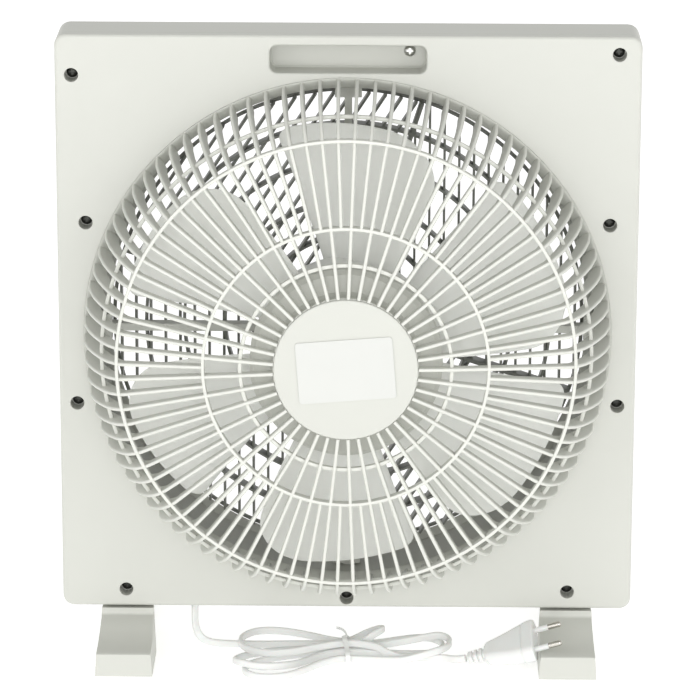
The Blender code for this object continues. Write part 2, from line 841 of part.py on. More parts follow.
def make_louvre(axis):
    """The wheel in the front opening, whose slats change direction from one quarter to the next."""
    rim_outer = LOUVRE_OPENING_RADIUS - 2 * MM
    rim_inner = rim_outer - 2.5 * MM
    hub_outer = 34 * MM
    low, high = -50 * MM, -36 * MM
    hub = [
        (3.3 * MM, high),
        (hub_outer, high),
        (hub_outer, low),
        (hub_outer - 2.5 * MM, low),
        (hub_outer - 2.5 * MM, high - 2.5 * MM),
        (3.3 * MM, high - 2.5 * MM),
    ]
    wheel = lathe("louvre_wheel", [(r, at(t)) for r, t in hub], 24, LOUVRE, axis)
    rim_top = low + 5.5 * MM
    rim_profile = [(rim_inner, rim_top), (rim_outer, rim_top), (rim_outer, low), (rim_inner, low)]
    pieces = [lathe("louvre_rim", [(r, at(t)) for r, t in rim_profile], 48, None, axis)]
    first_spoke = math.radians(72)
    for quarter in range(4):
        turn = first_spoke + math.pi / 2 * quarter
        spoke = box(
            f"louvre_spoke_{quarter}",
            (hub_outer - 1 * MM, at(low + 0.5 * MM), -1.5 * MM),
            (rim_inner + 1 * MM, at(high - 0.5 * MM), 1.5 * MM),
            None,
            axis,
        )
        # Turned as seen from the rear, where -X is to the right.
        spoke.data.transform(Matrix.Rotation(math.pi + turn, 4, "Y"))
        pieces.append(spoke)
        slat_angle = math.radians(57) if quarter % 2 == 0 else math.radians(90)
        pieces += louvre_slats(
            quarter,
            turn,
            slat_angle,
            hub_outer - 1 * MM,
            rim_inner + 1.2 * MM,
            low + 1 * MM,
            high - 1 * MM,
            axis,
        )
    combine(wheel, "UNION", pieces)

    shaft = [(0, -21 * MM), (3 * MM, -21 * MM), (3 * MM, -49 * MM), (0, -49 * MM)]
    lathe("louvre_shaft", [(r, at(t)) for r, t in shaft], 12, STEEL, axis)
    cap = [(0, -56 * MM), (24 * MM, -55 * MM), (30.5 * MM, -51.5 * MM), (30.5 * MM, -50 * MM), (0, -50 * MM)]
    lathe("louvre_cap", [(r, at(t)) for r, t in cap], 24, SHELL, axis)


# ---------------------------------------------------------------- controls


def make_knob(kind, side, switch_half, switch_depth, axis):
    """A rotary control: its body inside the casing, and the spindle and knob that turn."""
    inside = -DEPTH + WALL + GAP
    x = side * KNOB_X
    box(
        f"{kind}_switch",
        (x - switch_half, at(inside), KNOB_Z - switch_half),
        (x + switch_half, at(inside + switch_depth), KNOB_Z + switch_half),
        BLACK,
    )
    spindle = [(0, inside - GAP), (3 * MM, inside - GAP), (3 * MM, -DEPTH - 13 * MM), (0, -DEPTH - 13 * MM)]
    lathe(f"{kind}_spindle", [(r, at(t)) for r, t in spindle], 12, STEEL, axis)
    face = -DEPTH - 0.8 * MM
    bore = 3.3 * MM
    skirt = [
        (bore, face),
        (19 * MM, face),
        (18.5 * MM, face - 4 * MM),
        (16 * MM, face - 6 * MM),
        (bore, face - 6 * MM),
    ]
    knob = lathe(f"{kind}_knob", [(r, at(t)) for r, t in skirt], 20, KNOB, axis)
    grip = box(
        f"{kind}_grip",
        (-4.6 * MM, at(face - 17 * MM), -16 * MM),
        (4.6 * MM, at(face - 5 * MM), 16 * MM),
        None,
        axis,
    )
    combine(knob, "UNION", [grip])
    bore_cut = cylinder(f"{kind}_bore", bore, at(face - 14 * MM), at(face + 1 * MM), parent=axis)
    combine(knob, "DIFFERENCE", [bore_cut])


def make_rocker(axis):
    """The louvre's rocker switch, at rest in its off position."""
    flange = -DEPTH - GAP - 1.5 * MM
    body = box(
        "louvre_switch",
        (-9 * MM, at(-DEPTH - 1 * MM), ROCKER_Z - 6 * MM),
        (9 * MM, at(-38 * MM), ROCKER_Z + 6 * MM),
        BLACK,
    )
    plate = box(
        "switch_flange",
        (-10.8 * MM, at(flange), ROCKER_Z - 7.8 * MM),
        (10.8 * MM, at(-DEPTH - GAP), ROCKER_Z + 7.8 * MM),
    )
    combine(body, "UNION", [plate])
    pocket = box(
        "switch_pocket",
        (-7.2 * MM, at(flange - 1 * MM), ROCKER_Z - 5 * MM),
        (7.2 * MM, at(flange + 10 * MM), ROCKER_Z + 5 * MM),
    )
    combine(body, "DIFFERENCE", [pocket])
    outline = [(-3.9, -5.2), (0, -3.8), (3.9, -5.2), (3.9, 0), (0, 2.6), (-3.9, 0)]
    ends = []
    for x in (-6.8 * MM, 6.8 * MM):
        ring = []
        for up, out in outline:
            y = out * math.cos(ROCKER_TILT) - up * math.sin(ROCKER_TILT)
            z = out * math.sin(ROCKER_TILT) + up * math.cos(ROCKER_TILT)
            ring.append((x, y * MM, z * MM))
        ends.append(ring)
    loft("louvre_rocker", ends, KNOB, axis, smooth=False)


# ---------------------------------------------------------------- electrical parts inside


def make_capacitor():
    x, z = -160 * MM, FOOT_HEIGHT + 34 * MM
    box(
        "run_capacitor",
        (x - 18 * MM, at(-52 * MM), z - 13 * MM),
        (x + 18 * MM, at(-34 * MM), z + 13 * MM),
        BLACK,
    )


# ---------------------------------------------------------------- feet


def foot_screw_places():
    return [(side * FOOT_X, at(depth)) for side in (-1, 1) for depth in (-16 * MM, -40 * MM)]


def make_feet():
    """Two feet whose top falls away in a hollow ramp, in front and behind. They narrow towards the front."""
    ramp = [(48, 16.5), (27, 18.2), (10, 23.3), (-1.9, 27.7), (-2, 32)]
    stations = ramp + [(-55 - depth, z) for depth, z in reversed(ramp)]
    neck, base = 17.85 * MM, 19.5 * MM
    neck_height = 27.7 * MM
    narrowest, taper_length = 0.6, 101
    for name, side in (("foot_left", 1), ("foot_right", -1)):
        rings = []
        for depth, z in stations:
            up = min(1.0, z * MM / neck_height)
            taper = 1 - (1 - narrowest) * max(0.0, -2 - depth) / taper_length
            top = (base + (neck - base) * up) * taper
            corners = [(-base * taper, 0), (base * taper, 0), (top, z * MM), (-top, z * MM)]
            rings.append([(side * FOOT_X + x, at(depth * MM), height) for x, height in corners])
        foot = loft(name, rings, SHELL, smooth=False)
        pad = box(
            f"{name}_pad",
            (side * FOOT_X - 14 * MM, at(-50 * MM), 30 * MM),
            (side * FOOT_X + 14 * MM, at(-11 * MM), FOOT_HEIGHT - GAP),
        )
        combine(foot, "UNION", [pad])
        cuts = []
        for i, (x, y) in enumerate(foot_screw_places()):
            if x * side > 0:
                cuts.append(cylinder(f"{name}_bore_{i}", 4.6 * MM, -5 * MM, 22 * MM, axis="Z", place=(x, y, 0)))
                cuts.append(
                    cylinder(
                        f"{name}_hole_{i}", SCREW_HOLE_RADIUS, 10 * MM, 40 * MM, segments=8, axis="Z", place=(x, y, 0)
                    )
                )
        combine(foot, "DIFFERENCE", cuts)
    for i, (x, y) in enumerate(foot_screw_places()):
        screw(f"foot_screw_{i + 1}", 22 * MM - GAP, 40.5 * MM, (x, y, 0), axis="Z")


# ---------------------------------------------------------------- mains lead

CORD_RADIUS = 2.6 * MM
HANK_LOW = 1.7 * MM
HANK_HIGH = 16 * MM
TIE_LOW_X, TIE_HIGH_X = -2 * MM, 5 * MM

# x, depth and height, in mm, of points that the lead passes through.
LEAD_ROUTE = [
    (105, -15, 29.2),
    (105, -15, 22),
    (105, -15, 18),
    (104.3, -14.5, 13),
    (102, -13.5, 8),
    (97.5, -12.5, 4.6),
    (91.5, -12, 3.1),
    (85, -11.5, 2.8),
    (80, -11, 2.8),
    (75.5, -10.5, 2.8),
]
TAIL_ROUTE = [(-67.5, 15.5, 3.0), (-72, 18.3, 3.4), (-77, 21.6, 4.5), (-82, 24, 6.1)]

PLUG_START = Vector((-83.5 * MM, 24.6 * MM, 6.6 * MM))
PLUG_END = Vector((-128.9 * MM, 31.3 * MM, 22.4 * MM))
PLUG_TILT = math.radians(23.5)
PIN_LENGTH = 19 * MM
PIN_SPACING = 18.6 * MM


def smooth_route(points, steps):
    """Points along a Catmull-Rom curve through the given ones."""
    padded = [points[0] * 2 - points[1]] + points + [points[-1] * 2 - points[-2]]
    route = []
    for a, b, c, d in zip(padded, padded[1:], padded[2:], padded[3:]):
        for step in range(steps):
            t = step / steps
            route.append(
                0.5 * (2 * b + (c - a) * t + (2 * a - 5 * b + 4 * c - d) * t**2 + (3 * b - a - 3 * c + d) * t**3)
            )
    return route + [points[-1]]


def make_cord_tube(name, points):
    route = smooth_route([Vector((x * MM, at(depth * MM), z * MM)) for x, depth, z in points], 2)
    curve = bpy.data.curves.new(name, "CURVE")
    curve.dimensions = "3D"
    curve.bevel_depth = CORD_RADIUS
    curve.bevel_resolution = 2
    curve.use_fill_caps = True
    spline = curve.splines.new("POLY")
    spline.points.add(len(route) - 1)
    for point, place in zip(spline.points, route):
        point.co = (*place, 1.0)
    curve.materials.append(CORD)
    obj = bpy.data.objects.new(name, curve)
    bpy.context.scene.collection.objects.link(obj)


def make_gland():
    """The moulded strain relief, clipped in the casing's floor; the lead hangs from it."""
    below = FOOT_HEIGHT - GAP
    profile = [
        (0, 29.6 * MM),
        (3.4 * MM, 29.6 * MM),
        (4.2 * MM, 32 * MM),
        (6.4 * MM, 32.4 * MM),
        (6.4 * MM, below),
        (4.8 * MM, below),
        (4.8 * MM, 40 * MM),
        (0, 40 * MM),
    ]
    lathe("cord_gland", profile, 16, CORD, axis="Z", place=(GLAND_X, at(GLAND_DEPTH), 0))


def make_hank():
    def lobe(name, low, high, radius, finish_material=None):
        centre = [(a + b) / 2 * MM for a, b in zip(low, high)]
        half = [(b - a) / 2 * MM for a, b in zip(low, high)]
        outline = rounded_rectangle(half[0], half[1], radius * MM, 6)
        rings = [[(centre[0] + x, at(centre[1] + y), z) for x, y in outline] for z in (HANK_LOW, HANK_HIGH)]
        return loft(name, rings, finish_material)

    hank = lobe("power_cord_hank", (-69.5, -25), (30, 19), 21, CORD)
    combine(hank, "UNION", [lobe("hank_lobe", (6, -25.5), (78, 58), 35)])

    thick = 1.2 * MM
    low_y, high_y = at(-25 * MM) - GAP, at(19 * MM) + GAP
    low_z, high_z = HANK_LOW - GAP, HANK_HIGH + GAP
    tie = box(
        "cord_tie",
        (TIE_LOW_X, low_y - thick, low_z - thick),
        (TIE_HIGH_X, high_y + thick, high_z + thick),
        TIE,
    )
    inside = box("tie_inside", (TIE_LOW_X - 5 * MM, low_y, low_z), (TIE_HIGH_X + 5 * MM, high_y, high_z))
    combine(tie, "DIFFERENCE", [inside])


def make_plug():
    """A flat two-pin plug, leaning on the hank's end with its pins over the foot."""
    start, end = PLUG_START.copy(), PLUG_END.copy()
    start.y, end.y = at(start.y), at(end.y)
    along = (end - start).normalized()
    flat = Vector((0, -math.cos(PLUG_TILT), math.sin(PLUG_TILT)))
    flat = (flat - along * flat.dot(along)).normalized()
    up = along.cross(flat)
    length = (end - start).length
    # share of the length, half width, half height and how far the section sags off the axis
    sections = [
        (0, 4.2, 3.0, 0),
        (0.26, 5.2, 3.9, 0.8),
        (0.31, 9.0, 5.6, 1.4),
        (0.41, 10.4, 6.2, 1.8),
        (0.63, 13.6, 6.6, 1.6),
        (0.86, 17.0, 6.85, 0.4),
        (0.95, 17.65, 6.85, 0),
        (1.0, 17.65, 6.85, 0),
    ]
    rings = []
    for share, half_width, half_height, sag in sections:
        outline = rounded_rectangle(half_width * MM, half_height * MM, min(half_height, half_width) * MM * 0.9, 3)
        middle = start + along * (length * share) - flat * (sag * MM)
        rings.append([middle + flat * a + up * b for a, b in outline])
    body = loft("plug_body", rings, CORD)
    cuts = []
    for name, way in (("plug_pin_a", 1), ("plug_pin_b", -1)):
        root = end + flat * (way * PIN_SPACING / 2)
        to_pin = along.to_track_quat("Y", "Z").to_matrix().to_4x4()
        inside = 5 * MM
        profile = [
            (0, -inside + GAP),
            (2 * MM, -inside + GAP),
            (2 * MM, PIN_LENGTH - 2 * MM),
            (0.8 * MM, PIN_LENGTH),
            (0, PIN_LENGTH),
        ]
        pin = lathe(name, profile, 12, NICKEL)
        pin.matrix_world = Matrix.Translation(root) @ to_pin
        hole = cylinder(f"{name}_hole", 2.3 * MM, -inside, 3 * MM)
        hole.matrix_world = Matrix.Translation(root) @ to_pin
        cuts.append(hole)
    combine(body, "DIFFERENCE", cuts)


# ---------------------------------------------------------------- assembly

fan_axis = empty("fan_spin_axis", (0, 0, AXIS_Z))
louvre_axis = empty("louvre_spin_axis", (0, 0, AXIS_Z))
speed_axis = empty("speed_knob_axis", (KNOB_X, 0, KNOB_Z))
timer_axis = empty("timer_knob_axis", (-KNOB_X, 0, KNOB_Z))
rocker_axis = empty("louvre_rocker_axis", (0, at(ROCKER_PIVOT_DEPTH), ROCKER_Z))

make_rear_shell()
make_rear_guard()
make_cap_and_label()
make_front_housing()
make_housing_screws()
make_motor(fan_axis)
make_impeller(fan_axis)
make_louvre_bracket()
make_louvre(louvre_axis)
make_knob("speed", 1, 17 * MM, 22 * MM, speed_axis)
make_knob("timer", -1, 19 * MM, 26 * MM, timer_axis)
make_rocker(rocker_axis)
make_capacitor()
make_feet()
make_gland()
make_cord_tube("power_cord_lead", LEAD_ROUTE)
make_hank()
make_cord_tube("power_cord_tail", TAIL_ROUTE)
make_plug()
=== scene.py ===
"""The looks of a 30 cm box fan: casing, domed guard, impeller, louvre wheel, controls and mains lead.

Shapes are modelled in millimetres, at (x, depth, z): x across the fan, depth out of the rear panel's face
towards +Y, and z up from the floor. solid() turns them into metres in the frame's own place.
"""

import math

import bmesh
import bpy
from mathutils import Matrix, Vector


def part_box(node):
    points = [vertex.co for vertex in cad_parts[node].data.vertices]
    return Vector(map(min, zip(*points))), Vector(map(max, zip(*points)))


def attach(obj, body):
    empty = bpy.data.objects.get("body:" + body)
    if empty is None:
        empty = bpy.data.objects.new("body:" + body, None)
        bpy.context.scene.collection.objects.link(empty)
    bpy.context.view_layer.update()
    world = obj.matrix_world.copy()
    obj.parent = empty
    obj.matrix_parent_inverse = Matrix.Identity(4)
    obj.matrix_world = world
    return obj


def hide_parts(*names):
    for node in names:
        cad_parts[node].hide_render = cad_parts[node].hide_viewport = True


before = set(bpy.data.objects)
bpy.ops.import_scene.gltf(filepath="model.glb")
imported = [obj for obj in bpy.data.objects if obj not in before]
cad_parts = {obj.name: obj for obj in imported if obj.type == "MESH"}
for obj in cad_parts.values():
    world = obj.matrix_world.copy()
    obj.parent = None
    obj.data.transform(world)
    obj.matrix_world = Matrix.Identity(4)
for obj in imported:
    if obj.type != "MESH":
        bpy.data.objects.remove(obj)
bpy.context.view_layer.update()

MM = 0.001


def span(node):
    """A node's lowest and highest corners at rest, in mm."""
    return [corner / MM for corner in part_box(node)]


# ---------------------------------------------------------------- sizes, from the frame

HOUSING_LOW, HOUSING_HIGH = span("front_housing")
GUARD_LOW, GUARD_HIGH = span("rear_guard")

PANEL = span("rear_shell")[1].y
WIDTH = HOUSING_HIGH.x - HOUSING_LOW.x
BOTTOM, TOP = HOUSING_LOW.z, HOUSING_HIGH.z
MIDDLE_Z = (BOTTOM + TOP) / 2
AXIS_Z = (GUARD_LOW.z + GUARD_HIGH.z) / 2
FRONT = HOUSING_LOW.y - PANEL
WALL = 2.2
GAP = 0.3
LIP = 8

OPENING_RADIUS = 178
DUCT_RADIUS = 170
FRONT_OPENING_RADIUS = 163.5
CORNER_RADIUS = 7.5
FRONT_EDGE_RADIUS = 12

RECESS_HALF_WIDTH = 52
RECESS_LOW, RECESS_HIGH = MIDDLE_Z + 174.5, MIDDLE_Z + 193
RECESS_DEPTH = 21

KNOB_X = (span("speed_knob")[0].x + span("speed_knob")[1].x) / 2
KNOB_Z = (span("speed_knob")[0].z + span("speed_knob")[1].z) / 2


# ---------------------------------------------------------------- shape tools


def loft(shape, rings, capped=True, strips=False):
    """Adds a skin over rings of points, all of one length.

    It is closed by one flat face at each end, or with strips by a row of narrow faces from one half of the
    ring to the other, for an end that is thin and curved. Not capped, it runs on from the last ring to the
    first.
    """
    loops = [[shape.verts.new(point) for point in ring] for ring in rings]
    for first, second in zip(loops, loops[1:]):
        for i, corner in enumerate(first):
            j = (i + 1) % len(first)
            shape.faces.new((corner, first[j], second[j], second[i]))
    if strips:
        count = len(rings[0])
        for loop in (loops[0], loops[-1]):
            for i in range(count // 2):
                corners = [loop[i], loop[i + 1], loop[count - i - 1], loop[(count - i) % count]]
                shape.faces.new(list(dict.fromkeys(corners)))
    elif capped:
        shape.faces.new(loops[0])
        shape.faces.new(loops[-1])
    else:
        for i in range(len(loops[0])):
            j = (i + 1) % len(loops[0])
            shape.faces.new((loops[-1][i], loops[-1][j], loops[0][j], loops[0][i]))


def eased(corners, reach, steps=4, closed=True):
    """The corners of an outline, each replaced with a small arc that starts reach before it."""
    points = []
    corners = [Vector(corner) for corner in corners]
    for i, corner in enumerate(corners):
        if not closed and i in (0, len(corners) - 1):
            points.append(corner)
            continue
        back = corners[i - 1] - corner
        ahead = corners[(i + 1) % len(corners)] - corner
        cut = min(reach, back.length * 0.49, ahead.length * 0.49)
        start, end = corner + back.normalized() * cut, corner + ahead.normalized() * cut
        for step in range(steps + 1):
            t = step / steps
            points.append(start * (1 - t) ** 2 + corner * 2 * t * (1 - t) + end * t**2)
    return points


def turn(shape, profile, steps=96, x=0, z=None, upright=False):
    """Adds a profile of (radius, distance) turned round the fan's axis, or upright at x and depth z."""
    z = AXIS_Z if z is None else z
    closed = profile[0][0] > 0
    rings = []
    for radius, distance in profile:
        ring = []
        for step in range(steps if radius > 0 else 1):
            angle = math.tau * step / steps
            across, up = radius * math.cos(angle), radius * math.sin(angle)
            spot = (x + across, z + up, distance) if upright else (x + across, distance, z + up)
            ring.append(shape.verts.new(spot))
        rings.append(ring)
    pairs = list(zip(rings, rings[1:])) + ([(rings[-1], rings[0])] if closed else [])
    for first, second in pairs:
        for i in range(steps):
            j = (i + 1) % steps
            corners = [first[i % len(first)], first[j % len(first)]]
            corners += [second[j % len(second)], second[i % len(second)]]
            shape.faces.new(list(dict.fromkeys(corners)))


def rod(radius, low, high, steps=32, **place):
    shape = bmesh.new()
    turn(shape, [(0, low), (radius, low), (radius, high), (0, high)], steps, **place)
    return shape


def block(low, high):
    shape = bmesh.new()
    corners = ((low[0], low[2]), (high[0], low[2]), (high[0], high[2]), (low[0], high[2]))
    loft(shape, [[(x, depth, z) for x, z in corners] for depth in (low[1], high[1])])
    return shape


def rounded_rectangle(half_width, half_height, radius, steps=6):
    points = []
    for quarter in range(4):
        across = half_width - radius if quarter in (0, 3) else radius - half_width
        up = half_height - radius if quarter in (0, 1) else radius - half_height
        for step in range(steps + 1):
            angle = math.pi / 2 * (quarter + step / steps)
            points.append((across + radius * math.cos(angle), up + radius * math.sin(angle)))
    return points


def casing_ring(inset, depth, radius=CORNER_RADIUS):
    """The casing's outline, drawn in by inset, at a depth."""
    outline = rounded_rectangle(WIDTH / 2 - inset, (TOP - BOTTOM) / 2 - inset, max(radius - inset * 0.3, 2))
    return [(x, depth, MIDDLE_Z + z) for x, z in outline]


def smooth_line(points, steps):
    """Points along a Catmull-Rom curve through the given ones."""
    points = [Vector(point) for point in points]
    padded = [points[0] * 2 - points[1]] + points + [points[-1] * 2 - points[-2]]
    line = []
    for a, b, c, d in zip(padded, padded[1:], padded[2:], padded[3:]):
        for step in range(steps):
            t = step / steps
            line.append(
                0.5 * (
                    2 * b + (c - a) * t + (2 * a - 5 * b + 4 * c - d) * t**2
                    + (3 * b - a - 3 * c + d) * t**3
                )
            )
    return line + [points[-1]]


def solid(name, shape):
    """The object of a bmesh that was modelled in mm from the panel's face."""
    bmesh.ops.recalc_face_normals(shape, faces=shape.faces)
    mesh = bpy.data.meshes.new(name)
    shape.to_mesh(mesh)
    shape.free()
    mesh.transform(Matrix.Scale(MM, 4) @ Matrix.Translation((0, PANEL, 0)))
    obj = bpy.data.objects.new(name, mesh)
    bpy.context.scene.collection.objects.link(obj)
    return obj


def settle(obj):
    """Puts the result of an object's modifiers into its mesh."""
    graph = bpy.context.evaluated_depsgraph_get()
    made = bpy.data.meshes.new_from_object(obj.evaluated_get(graph))
    obj.modifiers.clear()
    obj.data = made


def combine(target, operation, shapes):
    """Joins the shapes to the target, or cuts them from it."""
    group = bpy.data.collections.new("tools")
    tools = [solid(f"tool_{i}", shape) for i, shape in enumerate(shapes)]
    for tool in tools:
        group.objects.link(tool)
    boolean = target.modifiers.new(operation, "BOOLEAN")
    boolean.operation = operation
    boolean.operand_type = "COLLECTION"
    boolean.collection = group
    boolean.solver = "EXACT"
    settle(target)
    for tool in tools:
        bpy.data.objects.remove(tool)
    bpy.data.collections.remove(group)


def soften(obj, width, segments=2, angle=40):
    """Rounds an object's hard edges by a width in mm."""
    bevel = obj.modifiers.new("Bevel", "BEVEL")
    bevel.width = width * MM
    bevel.segments = segments
    bevel.limit_method = "ANGLE"
    bevel.angle_limit = math.radians(angle)
    bevel.use_clamp_overlap = True
    bevel.harden_normals = True


def dress(obj, finish, body, slot, *replaced, angle=32):
    """Gives a piece its finish and smooth faces, and fixes it to its body."""
    obj.data.materials.clear()
    obj.data.materials.append(finish)
    obj.data.shade_smooth()
    obj.data.set_sharp_from_angle(angle=math.radians(angle))
    even = obj.modifiers.new("Even", "WEIGHTED_NORMAL")
    even.keep_sharp = True
    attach(obj, body)
    if replaced:
        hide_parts(*replaced)
    return obj


# ---------------------------------------------------------------- material tools


def linear(colour):
    """An sRGB hex colour as linear RGBA."""
    channels = [int(colour[i : i + 2], 16) / 255 for i in (0, 2, 4)]
    return [c / 12.92 if c <= 0.04045 else ((c + 0.055) / 1.055) ** 2.4 for c in channels] + [1.0]


def add(tree, kind, settings=None, links=None, values=None):
    """Adds a node, sets its properties and inputs, and links its inputs from (node, output) pairs."""
    node = tree.nodes.new(kind)
    for key, value in (settings or {}).items():
        setattr(node, key, value)
    for key, value in (values or {}).items():
        node.inputs[key].default_value = value
    for key, (source, output) in (links or {}).items():
        tree.links.new(source.outputs[output], node.inputs[key])
    return node


def blank(name, colour, roughness, **values):
    """A material with only its Principled shader, and that shader and its place in space."""
    made = bpy.data.materials.new(name)
    made.use_nodes = True
    made.diffuse_color = linear(colour)
    tree = made.node_tree
    shader = tree.nodes["Principled BSDF"]
    shader.inputs["Base Color"].default_value = linear(colour)
    shader.inputs["Roughness"].default_value = roughness
    for key, value in values.items():
        shader.inputs[key.replace("_", " ")].default_value = value
    place = add(tree, "ShaderNodeTexCoord")
    return made, tree, shader, place


def vary(tree, shader, field, output, low, high, dark, light):
    """Runs the shader's colour and roughness between two values each by a field from 0 to 1."""
    tint = add(tree, "ShaderNodeMix", {"data_type": "RGBA"}, {"Factor": (field, output)})
    tint.inputs["A"].default_value = linear(dark)
    tint.inputs["B"].default_value = linear(light)
    tree.links.new(tint.outputs["Result"], shader.inputs["Base Color"])
    gloss = add(tree, "ShaderNodeMapRange", {}, {"Value": (field, output)}, {"To Min": low, "To Max": high})
    tree.links.new(gloss.outputs["Result"], shader.inputs["Roughness"])


def moulded(name, dark, light, low, high, grain=0.9, depth=0.02, flow=38, **values):
    """An injection-moulded plastic.

    dark and light are the two ends of its faint flow marks, low and high its roughness there. grain is the
    size in mm of the eroded texture of its mould and depth that texture's height in mm; the real grain is
    about 0.2 mm, drawn coarser so that it shows.
    """
    made, tree, shader, place = blank(name, light, (low + high) / 2, IOR=1.53, **values)
    marks = add(
        tree, "ShaderNodeTexNoise", {}, {"Vector": (place, "Object")},
        {"Scale": 1 / (flow * MM), "Detail": 3}
    )
    vary(tree, shader, marks, "Fac", low, high, dark, light)
    eroded = add(
        tree, "ShaderNodeTexNoise", {}, {"Vector": (place, "Object")},
        {"Scale": 1 / (grain * MM), "Detail": 2}
    )
    bump = add(
        tree, "ShaderNodeBump", {}, {"Height": (eroded, "Fac")}, {"Strength": 0.6, "Distance": depth * MM}
    )
    tree.links.new(bump.outputs["Normal"], shader.inputs["Normal"])
    return made


def turned(name, dark, light, low, high, pitch, **values):
    """A metal with the fine rings that a lathe leaves, at a pitch in mm, round the fan's axis."""
    made, tree, shader, place = blank(name, light, (low + high) / 2, Metallic=1.0, **values)
    centred = add(
        tree,
        "ShaderNodeMapping",
        {},
        {"Vector": (place, "Object")},
        {"Location": (0, 0, -AXIS_Z * MM)},
    )
    rings = add(
        tree,
        "ShaderNodeTexWave",
        {"wave_type": "RINGS", "rings_direction": "Y"},
        {"Vector": (centred, "Vector")},
        {"Scale": 0.314 / (pitch * MM) / 2, "Distortion": 0.6, "Detail": 2},
    )
    vary(tree, shader, rings, "Fac", low, high, dark, light)
    return made


# ---------------------------------------------------------------- materials


def abs_casing():
    """Injection-moulded ABS, a warm light grey with a fine matt grain: the casing, cap and feet."""
    return moulded("abs_warm_grey_moulded", "C2C3BC", "C6C7C0", 0.42, 0.50)


def abs_guard():
    """Injection-moulded ABS, a shade lighter and smoother than the casing's: the guard."""
    return moulded("abs_warm_white_moulded", "CDCEC7", "D1D2CB", 0.38, 0.46)


def polypropylene_blade():
    """Injection-moulded polypropylene: the impeller, cooler in colour and smoother than the casing, its
    pale grey raised to paint in the light that the guard and casing shade off the blades.
    """
    return moulded(
        "polypropylene_grey_painted_light_moulded", "E9EAE6", "EEEFEB", 0.34, 0.42, grain=1.4, depth=0.01, flow=60
    )


def abs_louvre():
    """Injection-moulded ABS in a mid grey that paints in the shade on the louvre wheel, in its duct."""
    return moulded("abs_grey_painted_shade_moulded", "74766F", "7F817B", 0.42, 0.50)


def abs_knob():
    """Polished ABS, dark grey: the knobs, the rocker and the impeller's nut."""
    return moulded(
        "abs_dark_grey_polished", "3B3E41", "44474A", 0.28, 0.36, grain=1.1, depth=0.008, flow=20
    )


def nylon_black():
    """Glass-filled nylon, black and mottled by its fibres: the switches and the gear motor's case."""
    return moulded(
        "nylon_black_glass_filled", "17181A", "222325", 0.42, 0.56, grain=0.7, depth=0.03, flow=6
    )


def pvc_cord():
    """Soft PVC, white and a little glossy, with a slight haze: the mains lead, its relief and the plug."""
    return moulded(
        "pvc_white_extruded", "DCDDDB", "E3E4E2", 0.34, 0.46, grain=2.2, depth=0.02, flow=12,
        Subsurface_Weight=0.08, Subsurface_Scale=0.002,
    )


def nylon_tie():
    """Extruded PE over a wire: the twist tie, glossier than the lead."""
    return moulded(
        "polyethylene_white_extruded", "E4E5E3", "EAEBE9", 0.25, 0.32, grain=1.5, depth=0.01, flow=8
    )


def polyester_label():
    """Printed polyester film, satin white: the blank rating label."""
    return moulded(
        "polyester_film_white_satin", "C8C9C5", "CBCCC8", 0.26, 0.34, grain=3.0, depth=0.006, flow=25
    )


def dial_ink():
    """Pad-printing ink, matt dark grey, slightly uneven at its edges: the dial marks."""
    return moulded("pad_ink_dark_grey", "3A3C3E", "484A4C", 0.55, 0.65, grain=0.6, depth=0.01, flow=3)


def zinc_screw():
    """Zinc-plated steel, bright and faintly cloudy from its passivation: the screws."""
    made, tree, shader, place = blank("steel_zinc_plated", "C4C4C0", 0.3, Metallic=1.0)
    cloud = add(
        tree, "ShaderNodeTexNoise", {}, {"Vector": (place, "Object")},
        {"Scale": 1 / (1.6 * MM), "Detail": 4}
    )
    vary(tree, shader, cloud, "Fac", 0.22, 0.42, "A9A9A4", "CFCFCC")
    return made


def dark_screw():
    """Hardened steel, near black to paint in the shade of the casing's deep counterbores, dull and rubbed:
    the casing's screws.
    """
    made, tree, shader, place = blank("steel_near_black_painted_shade", "4A4B48", 0.45, Metallic=1.0)
    cloud = add(
        tree, "ShaderNodeTexNoise", {}, {"Vector": (place, "Object")},
        {"Scale": 1 / (1.2 * MM), "Detail": 4}
    )
    vary(tree, shader, cloud, "Fac", 0.36, 0.54, "3A3B38", "565754")
    return made


def ground_steel():
    """Centreless-ground steel: the shafts, spindles and bearings, with fine rings round them."""
    return turned("steel_ground", "9C9D9F", "BEBFC1", 0.18, 0.30, 0.5)


def die_cast_bell():
    """Die-cast aluminium, dull, with the mottling that the melt leaves: the motor's end bells."""
    made, tree, shader, place = blank("aluminium_die_cast", "A4A6A8", 0.5, Metallic=1.0)
    mottle = add(
        tree, "ShaderNodeTexNoise", {}, {"Vector": (place, "Object")}, {"Scale": 1 / (4 * MM), "Detail": 6}
    )
    vary(tree, shader, mottle, "Fac", 0.42, 0.62, "8C8E90", "B2B4B6")
    bump = add(
        tree, "ShaderNodeBump", {}, {"Height": (mottle, "Fac")}, {"Strength": 0.5, "Distance": 0.05 * MM}
    )
    tree.links.new(bump.outputs["Normal"], shader.inputs["Normal"])
    return made


def lamination_stack():
    """Stamped electrical steel, blued: the stator and rotor, with a line between sheets.

    The real sheets are 0.5 mm thick, drawn as 1 mm so that they show.
    """
    made, tree, shader, place = blank("electrical_steel_stamped", "6B6D72", 0.45, Metallic=1.0)
    sheets = add(
        tree,
        "ShaderNodeTexWave",
        {"bands_direction": "Y", "wave_profile": "SAW"},
        {"Vector": (place, "Object")},
        {"Scale": 0.314 / (1.0 * MM) / 2, "Distortion": 0.0},
    )
    vary(tree, shader, sheets, "Fac", 0.38, 0.55, "4A4C51", "7A7C81")
    return made


